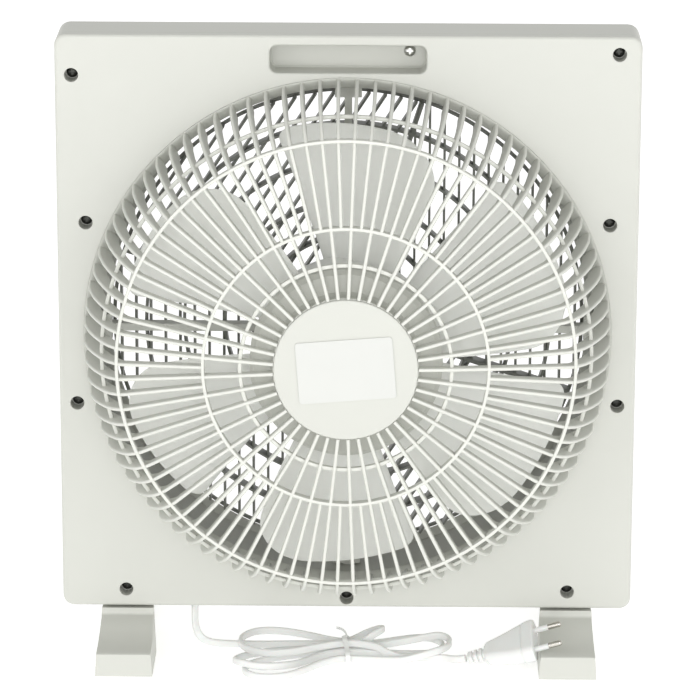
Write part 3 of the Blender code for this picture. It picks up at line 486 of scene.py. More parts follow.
def copper_winding():
    """Enamelled copper wire, wound in rings: lacquered, deep orange, each turn with its own highlight."""
    made, tree, shader, place = blank(
        "copper_enamelled_wound", "A5592C", 0.3, Metallic=1.0, Coat_Weight=0.5
    )
    centred = add(
        tree, "ShaderNodeMapping", {}, {"Vector": (place, "Object")}, {"Location": (0, 0, -AXIS_Z * MM)}
    )
    turns = add(
        tree,
        "ShaderNodeTexWave",
        {"wave_type": "RINGS", "rings_direction": "Y"},
        {"Vector": (centred, "Vector")},
        {"Scale": 0.314 / (0.8 * MM) / 2, "Distortion": 1.2, "Detail": 2},
    )
    vary(tree, shader, turns, "Fac", 0.25, 0.4, "7A3B1A", "B86A38")
    bump = add(
        tree, "ShaderNodeBump", {}, {"Height": (turns, "Fac")}, {"Strength": 0.8, "Distance": 0.15 * MM}
    )
    tree.links.new(bump.outputs["Normal"], shader.inputs["Normal"])
    return made


def nickel_pin():
    """Nickel-plated brass, bright, with fine drawing lines: the plug's pins."""
    made, tree, shader, place = blank("brass_nickel_plated", "D2CFC8", 0.18, Metallic=1.0)
    lines = add(
        tree, "ShaderNodeTexNoise", {}, {"Vector": (place, "Object")},
        {"Scale": 1 / (0.8 * MM), "Detail": 3}
    )
    vary(tree, shader, lines, "Fac", 0.14, 0.26, "B9B6AE", "D9D6CF")
    return made


CASING = abs_casing()
GUARD = abs_guard()
# the blades' raised pale grey is partly painted light inside the guard
BLADE = polypropylene_blade()
# the louvre's mid grey is painted shade on its slats
LOUVRE = abs_louvre()
KNOB = abs_knob()
BLACK = nylon_black()
CORD = pvc_cord()
TIE = nylon_tie()
LABEL = polyester_label()
INK = dial_ink()
ZINC = zinc_screw()
# near-black steel is painted shade for the casing screws' counterbores
SCREW_PAINTED_SHADE = dark_screw()
STEEL = ground_steel()
CASTING = die_cast_bell()
STACK = lamination_stack()
COPPER = copper_winding()
NICKEL = nickel_pin()


# ---------------------------------------------------------------- camera and studio


def make_camera():
    """Looks down at the rear of the fan from a good distance, slightly from its right."""
    yaw, pitch, roll = math.radians(-0.68), math.radians(15.83), math.radians(0.17)
    away = 2.742
    target = Vector((-0.0005, PANEL * MM, 0.2194))
    forward = Vector((-math.sin(yaw) * math.cos(pitch), -math.cos(yaw) * math.cos(pitch), -math.sin(pitch)))
    data = bpy.data.cameras.new("camera")
    data.sensor_width = 36
    data.lens = 209.9
    camera = bpy.data.objects.new("camera", data)
    camera.location = target - forward * away
    camera.rotation_mode = "QUATERNION"
    lean = Matrix.Rotation(roll, 3, "Z").to_quaternion()
    camera.rotation_quaternion = forward.to_track_quat("-Z", "Y") @ lean
    bpy.context.scene.collection.objects.link(camera)
    bpy.context.scene.camera = camera


def soft_light(name, place, towards, size, power):
    data = bpy.data.lights.new(name, "AREA")
    data.shape = "RECTANGLE"
    data.size, data.size_y = size
    data.energy = power
    light = bpy.data.objects.new(name, data)
    light.location = place
    light.rotation_mode = "QUATERNION"
    light.rotation_quaternion = (Vector(towards) - Vector(place)).to_track_quat("-Z", "Y")
    bpy.context.scene.collection.objects.link(light)


def make_studio():
    """A pale floor, a pale surround that is dimmer overhead, and three soft boxes on the rear side."""
    bpy.context.scene.view_settings.view_transform = "Standard"
    shape = bmesh.new()
    reach = 14
    corners = [
        shape.verts.new((x * reach, y * reach, -0.0004)) for x, y in ((-1, -1), (1, -1), (1, 1), (-1, 1))
    ]
    shape.faces.new(corners)
    mesh = bpy.data.meshes.new("floor")
    shape.to_mesh(mesh)
    shape.free()
    floor = bpy.data.objects.new("floor", mesh)
    paint, tree, shader, place = blank("floor_paint_matt_white", "F4F4F4", 0.8)
    shader.inputs["Emission Color"].default_value = linear("FFFFFF")
    shader.inputs["Emission Strength"].default_value = 0.46
    cloud = add(tree, "ShaderNodeTexNoise", {}, {"Vector": (place, "Object")}, {"Scale": 1 / 0.6})
    vary(tree, shader, cloud, "Fac", 0.78, 0.86, "F3F3F3", "F6F6F6")
    mesh.materials.append(paint)
    bpy.context.scene.collection.objects.link(floor)

    world = bpy.data.worlds.new("studio")
    world.use_nodes = True
    tree = world.node_tree
    place = add(tree, "ShaderNodeTexCoord")
    height = add(tree, "ShaderNodeSeparateXYZ", {}, {"Vector": (place, "Generated")})
    level = add(
        tree,
        "ShaderNodeMapRange",
        {},
        {"Value": (height, "Z")},
        {"From Min": 0.0, "From Max": 0.9, "To Min": 1.03, "To Max": 0.62},
    )
    surround = tree.nodes["Background"]
    tree.links.new(level.outputs["Result"], surround.inputs["Strength"])
    surround.inputs["Color"].default_value = (1.0, 1.0, 0.995, 1.0)
    bpy.context.scene.world = world

    soft_light("box_left", (2.2, 2.6, 1.5), (0, 0, 0.25), (1.6, 1.6), 13)
    soft_light("box_right", (-2.4, 2.4, 1.3), (0, 0, 0.25), (1.6, 1.6), 13)
    soft_light("box_rear", (0, 2.6, 0.5), (0, 0, 0.25), (1.3, 1.3), 23)


# ---------------------------------------------------------------- mains lead

LEAD_WIDTH = 5.4
LEAD_THICKNESS = 3.2

# The lead's places, once smoothed, at which it is still turning on its way down from its relief.
LEAD_TURNING_PLACES = 44

# x, depth and height of points that the lead passes through, from its relief to the plug.
LEAD_ROUTE = [
    # down from the casing and along the floor to the tie
    (105, -15, 29.2), (105, -15, 22), (105, -15, 18), (104.3, -14.5, 13), (102, -13.5, 8),
    (97.5, -12.5, 4.6), (91.5, -12, 3.1), (85, -11.5, 2.8), (80, -11, 2.8), (75.5, -10.5, 2.8),
    (66, -10, 2.8), (52, -10.2, 2.8), (38, -11, 2.8), (24, -11.5, 2.8), (12, -11, 2.8),
    (1.5, -10.3, 2.8),
    # the first loop beyond the tie, out behind and back along the middle
    (-10, -11.5, 2.8), (-24, -14.5, 3.2), (-38, -18.5, 4.0), (-50, -20.8, 4.6), (-59, -18.5, 4.8),
    (-65, -11.5, 4.6), (-66.5, -3.5, 4.0), (-62.5, 3.4, 3.2), (-54, 6.6, 2.8), (-42, 7, 2.8),
    (-28, 6.4, 2.8), (-12, 5.2, 2.8), (1.5, 4.7, 2.8),
    # the first loop before the tie, the front one
    (10, 7, 2.8), (18, 12.5, 2.9), (26, 23, 3.6), (33.5, 35, 5.4), (42, 44.5, 7.6), (52, 49.5, 8.6),
    (62, 48.5, 8.8), (70, 42.5, 8.6), (75, 34, 6.8), (75.6, 24.5, 4.2), (71, 15, 2.9), (62, 8, 2.8),
    (48, 3, 2.8), (34, 0, 2.8), (18, -3, 2.8), (1.5, -5, 2.8),
    # the second loop beyond, the long one, over the first and back in front
    (-10, -5.8, 2.9), (-24, -7.5, 4.0), (-40, -9.5, 6.0), (-54, -10.5, 8.6), (-64, -9.6, 10.4),
    (-70.3, -4.5, 9.9), (-71, 3.5, 9.0), (-67.5, 11.5, 8.7), (-60.5, 17.4, 8.4), (-50, 20.4, 6.0),
    (-39, 20.6, 3.3), (-28, 20, 2.8), (-14, 18.7, 2.8), (1.5, 17.6, 2.8),
    # the second loop before, the foremost, then under the first
    (10, 21.5, 2.8), (18, 28, 2.8), (29, 41, 2.8), (39, 50.5, 2.8), (50, 54.8, 2.8), (60, 53.4, 2.8),
    (67, 47, 2.8), (69, 38.5, 2.8), (65.5, 30, 2.8), (57, 22, 2.8), (45, 15, 2.8), (30, 9, 2.8),
    (14, 3, 2.8), (1.5, 0, 2.8),
    # the short loop that stands up beyond the tie
    (-6.5, -1.6, 3.8), (-12.5, -2, 8.2), (-18, -3.4, 12.4), (-23.2, -7.5, 14.2), (-25, -13.5, 13.6),
    (-21.5, -19.3, 11.2), (-14, -21.3, 7.8), (-6, -19.2, 4.4), (1.5, -16.6, 2.9),
    # the last loop before the tie, over the lead
    (12, -17.5, 3.8), (25, -19.5, 6.0), (40, -21.5, 8.0), (53, -22, 8.8), (63.5, -19, 8.9),
    (70.5, -11.5, 8.7), (73, -2, 8.6), (71.5, 8, 8.5), (66, 16, 8.4), (57, 21.5, 8.4), (46, 22, 8.4),
    (33, 17.5, 8.4), (20, 10.5, 8.4), (9, 5.2, 8.5), (1.5, 2.5, 8.5),
    # over the others and out to the plug
    (-7, 3, 8.6), (-14, 5.4, 8.6), (-21, 9, 8.4), (-28, 12.2, 5.6), (-36, 13.6, 3.2), (-47, 13.8, 2.8),
    (-57, 14, 2.8), (-67.5, 15.5, 3.0), (-72, 18.3, 3.4), (-77, 21.6, 4.5), (-82, 24, 6.1),
]

PLUG_START = Vector((-83.5, 24.6, 6.6))
PLUG_END = Vector((-128.9, 31.3, 22.4))
PLUG_TILT = math.radians(23.5)
PIN_LENGTH = 19
PIN_SPACING = 18.6


def sweep(shape, line, section, side_of):
    """Adds a section of (thick, wide) points along a line; side_of gives its wide direction at a place."""
    rings = []
    for i, place in enumerate(line):
        ahead = line[min(i + 1, len(line) - 1)] - line[max(i - 1, 0)]
        ahead.normalize()
        wide = side_of(i, place, ahead)
        wide = (wide - ahead * wide.dot(ahead)).normalized()
        thick = wide.cross(ahead)
        rings.append([place + thick * a + wide * b for a, b in section])
    loft(shape, rings)


def twin_section():
    """Two round cores side by side, with a shallow groove between them on both faces."""
    core = LEAD_THICKNESS / 2
    shift = LEAD_WIDTH / 2 - core
    points = []
    for way in (1, -1):
        for step in range(7):
            angle = math.pi / 2 * way + math.radians(-78 + 26 * step)
            points.append((core * math.cos(angle), way * shift + core * math.sin(angle)))
    return points


def make_lead(plug_pieces):
    line = smooth_line(LEAD_ROUTE, 4)
    upright_below = 16

    def wide_way(i, place, ahead):
        """The lead leaves its relief turned half round, and stands on its narrow edge on the floor."""
        turning = i < LEAD_TURNING_PLACES
        share = max(0.0, min(1.0, (place.z - 3) / upright_below)) if turning else 0.0
        return Vector((0, 0, 1)).lerp(Vector((-0.75, -0.66, 0)), share)

    shape = bmesh.new()
    sweep(shape, line, twin_section(), wide_way)
    lead = dress(
        solid("mains_lead", shape), CORD, "housing", "cord",
        "power_cord_lead", "power_cord_hank", "power_cord_tail", angle=60,
    )


def make_tie():
    """A flat twist tie round the hank, set askew, with its twisted ends lying at the back."""
    around = [
        (-0.5, -19.6, 3.2), (0.5, -18.2, 6.6), (1.6, -9.5, 8.6), (1.6, -1.0, 12.2), (1.0, 5.2, 12.2),
        (-0.4, 12, 8.8), (-1.2, 19.2, 6.6), (-1.4, 20.3, 3.2), (-1.2, 18.6, 0.7), (0.2, 6, 0.5),
        (1.0, -6, 0.5),
        (0.4, -17.8, 0.7), (-0.5, -19.6, 3.2),
    ]
    line = smooth_line(around, 5)
    section = eased([(-0.45, -1.7), (0.45, -1.7), (0.45, 1.7), (-0.45, 1.7)], 0.35, 2)
    shape = bmesh.new()
    sweep(shape, line, [tuple(point) for point in section], lambda i, place, ahead: Vector((1, 0, 0)))
    twist = smooth_line([(-0.5, -19.4, 5.0), (1.0, -21.2, 8.0), (3.6, -22.4, 10.0), (7.2, -23.4, 10.6)], 8)
    for way in (0, math.pi):
        strand = [
            place + Vector((0, math.cos(i * 0.9 + way), math.sin(i * 0.9 + way))) * 0.7
            for i, place in enumerate(twist)
        ]
        sweep(
            shape, strand,
            [(0.5 * math.cos(a), 0.5 * math.sin(a)) for a in (0, 1.05, 2.1, 3.14, 4.19, 5.24)],
            lambda i, place, ahead: Vector((0, 0.3, 1)),
        )
    return dress(solid("twist_tie", shape), TIE, "housing", "tie", "cord_tie")


def make_relief():
    """The short strain relief, clipped in the casing's floor."""
    below = BOTTOM - GAP
    profile = [(0, 29.6), (2.9, 29.6), (3.4, 29.9), (3.8, 30.9), (4.2, 32.0), (6.0, 32.4), (6.4, 32.8)]
    profile += [(6.4, below), (4.8, below), (4.8, 40), (0, 40)]
    shape = bmesh.new()
    centre = (span("cord_gland")[0] + span("cord_gland")[1]) / 2
    turn(shape, profile, 40, x=centre.x, z=centre.y - PANEL, upright=True)
    return dress(solid("lead_relief", shape), CORD, "housing", "cord", "cord_gland", angle=50)


def make_plug():
    """A flat two-pin plug: a grooved neck, a widening grip and a blunt face with two sleeved pins."""
    along = (PLUG_END - PLUG_START).normalized()
    length = (PLUG_END - PLUG_START).length
    flat = Vector((0, -math.cos(PLUG_TILT), math.sin(PLUG_TILT)))
    flat = (flat - along * flat.dot(along)).normalized()
    up = along.cross(flat)

    def oval(share, half_width, half_height, sag=0.0, steps=10):
        outline = rounded_rectangle(half_width, half_height, min(half_height, half_width) * 0.9, steps)
        middle = PLUG_START + along * (length * share) - flat * sag
        return [middle + flat * a + up * b for a, b in outline]

    sections = [(0, 2.9, 2.2), (0.006, 3.6, 2.8)]
    for groove in range(3):
        start = 0.03 + 0.075 * groove
        wide, high, sag = 4.2 + 0.4 * groove, 3.3 + 0.25 * groove, 0.3 * groove
        sections += [(start, wide, high, sag), (start + 0.04, wide, high, sag)]
        sections += [
            (start + 0.046, wide - 1.3, high - 1.0, sag), (start + 0.068, wide - 1.3, high - 1.0, sag)
        ]
    sections += [
        (0.262, 5.6, 4.1, 0.9), (0.285, 7.6, 5.0, 1.2), (0.31, 8.9, 5.6, 1.4), (0.36, 9.8, 6.0, 1.7)
    ]
    sections += [
        (0.41, 10.4, 6.2, 1.8), (0.52, 12.0, 6.4, 1.8), (0.63, 13.6, 6.6, 1.6), (0.75, 15.4, 6.7, 1.0)
    ]
    sections += [
        (0.82, 16.3, 6.75, 0.6), (0.825, 16.0, 6.3, 0.6), (0.84, 16.2, 6.3, 0.5), (0.845, 16.8, 6.85, 0.4)
    ]
    sections += [
        (0.93, 17.5, 6.85, 0.1), (0.975, 17.65, 6.85, 0), (0.99, 17.4, 6.6, 0), (1.0, 16.9, 6.1, 0)
    ]
    shape = bmesh.new()
    loft(shape, [oval(*section) for section in sections])
    body = solid("plug_grip", shape)

    def spindle(root, profile, steps=28):
        rings = []
        for radius, distance in profile:
            middle = root + along * distance
            ring = [
                middle + flat * (radius * math.cos(math.tau * s / steps))
                + up * (radius * math.sin(math.tau * s / steps))
                for s in range(steps)
            ]
            rings.append(ring)
        made = bmesh.new()
        loft(made, rings)
        return made

    pieces = []
    sleeve_end = 9.6
    for node, way in (("plug_pin_a", 1), ("plug_pin_b", -1)):
        root = PLUG_END + flat * (way * PIN_SPACING / 2)
        combine(body, "DIFFERENCE", [spindle(root, [(2.15, -5), (2.15, 3)])])
        pin = [(1.6, -4.6), (1.6, sleeve_end), (2.0, sleeve_end + 0.1), (2.0, PIN_LENGTH - 1.6)]
        pin += [(1.7, PIN_LENGTH - 0.7), (1.1, PIN_LENGTH - 0.15), (0.5, PIN_LENGTH)]
        metal = dress(solid(f"pin_{node[-1]}", spindle(root, pin)), NICKEL, "housing", "plug_pin", node)
        sleeve_profile = [(1.98, -4.6), (1.98, sleeve_end - 0.2), (1.8, sleeve_end)]
        sleeve = dress(
            solid(f"pin_sleeve_{node[-1]}", spindle(root, sleeve_profile)), CORD, "housing", "cord"
        )
        pieces += [metal, sleeve]
    dress(body, CORD, "housing", "cord", "plug_body", angle=50)
    return [body] + pieces


# ---------------------------------------------------------------- casing

SCREW_NODES = [f"housing_screw_{i}" for i in range(1, 10)]
SCREW_PITCH = 1.3


def middle_of(node):
    """A node's middle as (x, z), in mm."""
    low, high = span(node)
    return (low.x + high.x) / 2, (low.z + high.z) / 2


def make_rear_casing():
    """The rear half: a rounded lip, a round opening, deep counterbores and the handle's recess."""
    lip_radius, floor_depth = 2.4, -14
    rings = [casing_ring(0, -LIP), casing_ring(0, -lip_radius)]
    for step in range(1, 7):
        angle = math.pi / 2 * step / 6
        rings.append(casing_ring(lip_radius * (1 - math.cos(angle)), lip_radius * (math.sin(angle) - 1)))
    shape = bmesh.new()
    loft(shape, rings)
    casing = solid("rear_casing", shape)
    cavity = bmesh.new()
    loft(cavity, [casing_ring(WALL, -LIP - WALL), casing_ring(WALL, -WALL)])
    combine(casing, "DIFFERENCE", [cavity])

    places = [middle_of(node) for node in SCREW_NODES]
    tub = block(
        (-RECESS_HALF_WIDTH - WALL, -RECESS_DEPTH - WALL, RECESS_LOW - WALL),
        (RECESS_HALF_WIDTH + WALL, -1, RECESS_HIGH + WALL),
    )
    bosses = [rod(6.4, floor_depth, -1, x=x, z=z) for x, z in places]
    combine(casing, "UNION", [tub] + bosses)

    def flared(radius, bottom, edge, x=0, z=AXIS_Z, steps=40):
        """A round cutter whose top spreads out, to leave a rounded edge on the panel."""
        profile = [(0, bottom), (radius, bottom), (radius, -edge)]
        for step in range(1, 5):
            angle = math.pi / 2 * step / 4
            profile.append((radius + edge * (1 - math.cos(angle)), edge * (math.sin(angle) - 1)))
        profile += [(radius + edge, 3), (0, 3)]
        made = bmesh.new()
        turn(made, profile, steps, x=x, z=z)
        return made

    pocket = bmesh.new()
    rings = []
    for depth, spread in (
        (-RECESS_DEPTH, -1.2), (-RECESS_DEPTH + 1.2, 0), (-1.4, 0), (-0.9, 0.12), (-0.42, 0.42),
        (-0.12, 0.9), (0.0, 1.4), (3, 1.4),
    ):
        outline = rounded_rectangle(
            RECESS_HALF_WIDTH + spread, (RECESS_HIGH - RECESS_LOW) / 2 + spread, 5 + spread
        )
        rings.append([(x, depth, (RECESS_HIGH + RECESS_LOW) / 2 + z) for x, z in outline])
    loft(pocket, rings)
    cuts = [flared(OPENING_RADIUS, -LIP - 5, 0.3, steps=180), pocket]
    for x, z in places:
        cuts += [flared(4.65, floor_depth + 2, 0.5, x, z), rod(2.1, floor_depth - 3, 0, 16, x=x, z=z)]
    x, z = middle_of("recess_screw")
    cuts.append(rod(2.1, -RECESS_DEPTH - 5, -RECESS_DEPTH + 5, 16, x=x, z=z))
    combine(casing, "DIFFERENCE", cuts)
    return dress(casing, CASING, "housing", "shell", "rear_shell")


def make_front_casing():
    """The front half: rounded edges, the duct, the louvre's opening, and wells for the knobs and rocker."""
    seam = -LIP - GAP
    outer, inner = [casing_ring(0.6, seam), casing_ring(0, seam - 0.6)], []
    inner.append(casing_ring(WALL, seam + WALL))
    for step in range(9):
        angle = math.pi / 2 * step / 8
        inset = FRONT_EDGE_RADIUS * (1 - math.cos(angle))
        outer.append(casing_ring(inset, FRONT + FRONT_EDGE_RADIUS * (1 - math.sin(angle))))
        small = FRONT_EDGE_RADIUS - WALL
        inner.append(
            casing_ring(WALL + small * (1 - math.cos(angle)), FRONT + WALL + small * (1 - math.sin(angle)))
        )
    shape, hollow = bmesh.new(), bmesh.new()
    loft(shape, outer)
    loft(hollow, inner)
    casing = solid("front_casing", shape)
    combine(casing, "DIFFERENCE", [hollow])

    duct = bmesh.new()
    front = FRONT + 0.5
    outside = DUCT_RADIUS + WALL
    turn(duct, [(DUCT_RADIUS, front), (outside, front), (outside, -8), (DUCT_RADIUS, -8)], 144)
    root = FRONT + 1.2
    posts = []
    for x, z in [middle_of(node) for node in SCREW_NODES]:
        posts.append(rod(4.8, -46 if abs(x) < 1 else root, -14 - GAP, 24, x=x, z=z))
    x, z = middle_of("recess_screw")
    posts.append(rod(4.8, root, -RECESS_DEPTH - WALL - GAP, 24, x=x, z=z))
    combine(casing, "UNION", [duct] + posts)

    opening = bmesh.new()
    profile = [(0, FRONT - 5), (FRONT_OPENING_RADIUS + 2, FRONT - 5)]
    for step in range(6):
        angle = math.pi / 2 * step / 5
        profile.append((FRONT_OPENING_RADIUS + 2 - 2 * math.sin(angle), FRONT + 2 - 2 * math.cos(angle)))
    profile += [(FRONT_OPENING_RADIUS, FRONT + 8), (0, FRONT + 8)]
    turn(opening, profile, 144)
    groove = bmesh.new()
    ring = FRONT_OPENING_RADIUS + 4.5
    profile = [(ring, FRONT - 1), (ring + 1.6, FRONT - 1)]
    turn(groove, profile + [(ring + 1.2, FRONT + 0.7), (ring + 0.4, FRONT + 0.7)], 144)
    cuts = [opening, groove]
    for node in SCREW_NODES + ["recess_screw"]:
        x, z = middle_of(node)
        cuts.append(rod(2.1, -38, 0, 16, x=x, z=z))
    for side in (-1, 1):
        cuts.append(rod(4, FRONT - 5, FRONT + 8, 24, x=side * KNOB_X, z=KNOB_Z))
        well = bmesh.new()
        profile = [(0, FRONT - 2), (21.4, FRONT - 2), (21.4, FRONT + 0.2), (20.8, FRONT + 0.8)]
        turn(well, profile + [(0, FRONT + 0.8)], 72, x=side * KNOB_X, z=KNOB_Z)
        cuts.append(well)
    rocker_z = middle_of("louvre_switch")[1]
    cuts.append(block((-9.5, FRONT - 5, rocker_z - 6.5), (9.5, FRONT + 8, rocker_z + 6.5)))
    boss_x, boss_z = middle_of(SCREW_NODES[-1])
    cuts.append(block((boss_x - 6.7, -14 - GAP, boss_z - 10), (boss_x + 6.7, 0, boss_z + 10)))
    relief = (span("cord_gland")[0] + span("cord_gland")[1]) / 2
    floor_holes = [(relief.x, relief.y - PANEL, 5.2)]
    for i in range(1, 5):
        middle = (span(f"foot_screw_{i}")[0] + span(f"foot_screw_{i}")[1]) / 2
        floor_holes.append((middle.x, middle.y - PANEL, 2.1))
    for x, depth, radius in floor_holes:
        cutter = bmesh.new()
        turn(
            cutter, [(0, BOTTOM - 3), (radius, BOTTOM - 3), (radius, BOTTOM + 6), (0, BOTTOM + 6)], 20,
            x=x, z=depth, upright=True,
        )
        cuts.append(cutter)
    combine(casing, "DIFFERENCE", cuts)
    return dress(casing, CASING, "housing", "shell", "front_housing")


def cross_screw(name, node, upright=False):
    """A pan-head screw with a cross recess, at a CAD screw's place. Its head is at the outer end."""
    low, high = span(node)
    radius = (high.x - low.x) / 2
    if upright:
        head, tip, outward = low.z, high.z, -1
        place = {"x": (low.x + high.x) / 2, "z": (low.y + high.y) / 2 - PANEL, "upright": True}
    else:
        head, tip, outward = high.y - PANEL, low.y - PANEL, 1
        place = {"x": (low.x + high.x) / 2, "z": (low.z + high.z) / 2}
    thick = 2.6
    under = head - outward * thick
    profile = [(0, tip), (0.5, tip)]
    length = abs(under - tip)
    turns = int(length / SCREW_PITCH)
    for i in range(turns):
        near, far = tip + outward * (0.6 + i * SCREW_PITCH), tip + outward * (1.25 + i * SCREW_PITCH)
        profile += [(1.25, near), (1.7, far)]
    profile += [(1.3, under - outward * 0.1), (radius * 0.97, under), (radius, under + outward * 0.4)]
    for step in range(1, 6):
        angle = math.pi / 2 * step / 5
        profile.append(
            (radius * math.cos(angle * 0.93), under + outward * (0.4 + (thick - 0.4) * math.sin(angle)))
        )
    profile[-1] = (0, head)
    shape = bmesh.new()
    turn(shape, profile, 24, **place)
    made = solid(name, shape)
    slots = []
    for wide, deep in (((radius * 0.56, 0.55), 1.3), ((0.55, radius * 0.56), 1.3)):
        centre_x = place["x"]
        if upright:
            low_corner = (centre_x - wide[0], place["z"] - wide[1], head - 1)
            high_corner = (centre_x + wide[0], place["z"] + wide[1], head + deep)
        else:
            low_corner = (centre_x - wide[0], head - deep, place["z"] - wide[1])
            high_corner = (centre_x + wide[0], head + 1, place["z"] + wide[1])
        slots.append(block(low_corner, high_corner))
    combine(made, "DIFFERENCE", slots)
    # the nine casing screws take near-black steel, painted shade for their counterbores
    return dress(made, SCREW_PAINTED_SHADE if "housing" in node else ZINC, "housing", "zinc", node, angle=28)


# ---------------------------------------------------------------- guard

RIB_COUNT = 90
CAP_RADIUS = 47.6
CAP_DEPTH = 83.2
LABEL_HALF_WIDTH, LABEL_HALF_HEIGHT = 32, 20.8
LABEL_TILT = 4.5

# Radius and depth of the ribs' outer edge, from the panel to the middle.
GUARD_CURVE = [
    (177.4, -1.5), (177.3, 8), (176.4, 20), (172.8, 35), (168.6, 46), (163.5, 57), (158.2, 65.5),
    (152.8, 71), (148.0, 73.4),
    (135, 74.8), (115, 76.9), (94.2, 79.1), (70, 81.2), (47.9, 82.6),
]
INNER_STATION = 11


def make_guard():
    """Ninety plate-like ribs on a domed curve, joined by rings; every second rib goes on to the cap."""
    curve = [Vector((radius, depth)) for radius, depth in GUARD_CURVE]

    def heights(i):
        """How deep the rib's plate is at a place on the curve: deep down the wall, slimmer on the dome."""
        return 9.6 if i <= 5 else (9.2, 8.6, 8.2, 8.0, 7.8, 7.6, 7.4, 7.2)[min(i - 6, 7)]

    shape = bmesh.new()
    for rib in range(RIB_COUNT):
        angle = math.tau * rib / RIB_COUNT
        radial = Vector((-math.cos(angle), 0, math.sin(angle)))
        across = Vector((math.sin(angle), 0, math.cos(angle)))
        last = len(curve) if rib % 2 == 0 else INNER_STATION + 1
        rings = []
        for i in range(last):
            run = curve[min(i + 1, len(curve) - 1)] - curve[max(i - 1, 0)]
            inward = Vector((-run.y, run.x)).normalized()
            tall = 4.6 if i == 0 else heights(i)
            ring = []
            for side, share in (
                (0.45, 0.0), (1.0, 0.05), (1.2, 0.12), (0.9, 1.0),
                (-0.9, 1.0), (-1.2, 0.12), (-1.0, 0.05), (-0.45, 0.0),
            ):
                spot = curve[i] + inward * (tall * share)
                ring.append(Vector((0, spot.y, AXIS_Z)) + radial * spot.x + across * side)
            rings.append(ring)
        loft(shape, rings)

    def ring(low_radius, high_radius, low, high, reach=0.6, steps=180):
        corners = [(low_radius, low), (high_radius, low), (high_radius, high), (low_radius, high)]
        turn(shape, [tuple(point) for point in eased(corners, reach, 2)], steps)

    ring(150.2, 152.4, 66.8, 72.7)
    ring(161.2, 163.8, 46.4, 49.8, 0.8)
    ring(93.1, 95.3, 72.6, 79.2)
    ring(68.4, 71.0, 75.0, 78.8, 0.8)
    ring(42.2, 48.1, 74.0, 80.2)
    mouth = [
        (177.95, -0.1), (176.7, -0.9), (175.0, -2.6), (173.2, -4.4), (171.7, -6.0), (170.5, -7.6),
        (169.9, -7.6)
    ]
    mouth += [
        (169.9, -6.9), (170.9, -5.3), (172.3, -3.6), (174.1, -1.8), (175.9, -0.3), (176.9, 0.4),
        (177.95, 0.6)
    ]
    turn(shape, mouth, 180)
    guard = solid("rear_guard_lattice", shape)
    return dress(guard, GUARD, "housing", "shell", "rear_guard", angle=38)


def make_cap_and_label():
    profile = [(0, CAP_DEPTH), (45.6, CAP_DEPTH), (46.6, CAP_DEPTH - 0.12), (47.3, CAP_DEPTH - 0.5)]
    profile += [(CAP_RADIUS, CAP_DEPTH - 1.2), (CAP_RADIUS, CAP_DEPTH - 2.6), (41.6, CAP_DEPTH - 2.6)]
    profile += [(41.6, CAP_DEPTH - 7), (39.6, CAP_DEPTH - 7), (39.6, CAP_DEPTH - 2.2), (0, CAP_DEPTH - 2.2)]
    shape = bmesh.new()
    turn(shape, profile, 128)
    dress(solid("centre_cap", shape), CASING, "housing", "shell", "motor_cap")

    low, high = span("rating_label")
    cosine, sine = math.cos(math.radians(LABEL_TILT)), math.sin(math.radians(LABEL_TILT))
    shape = bmesh.new()
    rings = []
    for inset, depth in ((0, low.y - PANEL), (0, high.y - PANEL - 0.08), (0.08, high.y - PANEL)):
        outline = rounded_rectangle(LABEL_HALF_WIDTH - inset, LABEL_HALF_HEIGHT - inset, 2.2)
        rings.append([
            (x * cosine + z * sine, depth, AXIS_Z - x * sine + z * cosine) for x, z in outline
        ])
    loft(shape, rings)
    dress(solid("blank_rating_label", shape), LABEL, "housing", "label", "rating_label")


# ---------------------------------------------------------------- impeller

HUB_RADIUS = 59
BLADE_TIP_RADIUS = 152
BLADE_COUNT = 6


def add_blade(shape, turned):
    """A pitched, cambered blade: its leading edge is at the rear, with a large round tip corner."""
    root_radius, across, along = 57.2, 26, 12
    lead_depth, trail_depth, camber = 49, 8.5, 3
    tip_angles, root_angles = (4.5, 48.5), (-1.5, 46.0)

    def spot(s, j, side):
        corner = 30 * (1 - math.sqrt(1 - max(0.0, 1 - s / 0.34) ** 2))
        corner += 8 * (1 - math.sqrt(1 - max(0.0, (s - 0.9) / 0.1) ** 2))
        share = math.sin(math.pi / 2 * j / along) if j < along else 1.0
        radius = root_radius + (BLADE_TIP_RADIUS - corner - root_radius) * share
        out = (radius - root_radius) / (BLADE_TIP_RADIUS - root_radius)
        low = root_angles[0] + (tip_angles[0] - root_angles[0]) * out
        high = root_angles[1] + (tip_angles[1] - root_angles[1]) * out
        angle = math.radians(low + (high - low) * s + turned)
        thin = 1.25 * math.sqrt(max(0.0, 1 - abs(2 * s - 1) ** 14)) * (
            1.0 if j < along - 1 else (0.85, 0.3)[j - along + 1]
        )
        pitched = lead_depth + (trail_depth - lead_depth) * s - camber * math.sin(math.pi * s)
        depth = pitched - 1.2 + thin * side
        return (-radius * math.cos(angle), depth, AXIS_Z + radius * math.sin(angle))

    shares = [0.5 - 0.5 * math.cos(math.pi * i / across) for i in range(across + 1)]
    rings = []
    for j in range(along + 1):
        rear = [spot(s, j, 1) for s in shares]
        front = [spot(s, j, -1) for s in reversed(shares[1:-1])]
        rings.append(rear + front)
    loft(shape, rings, strips=True)


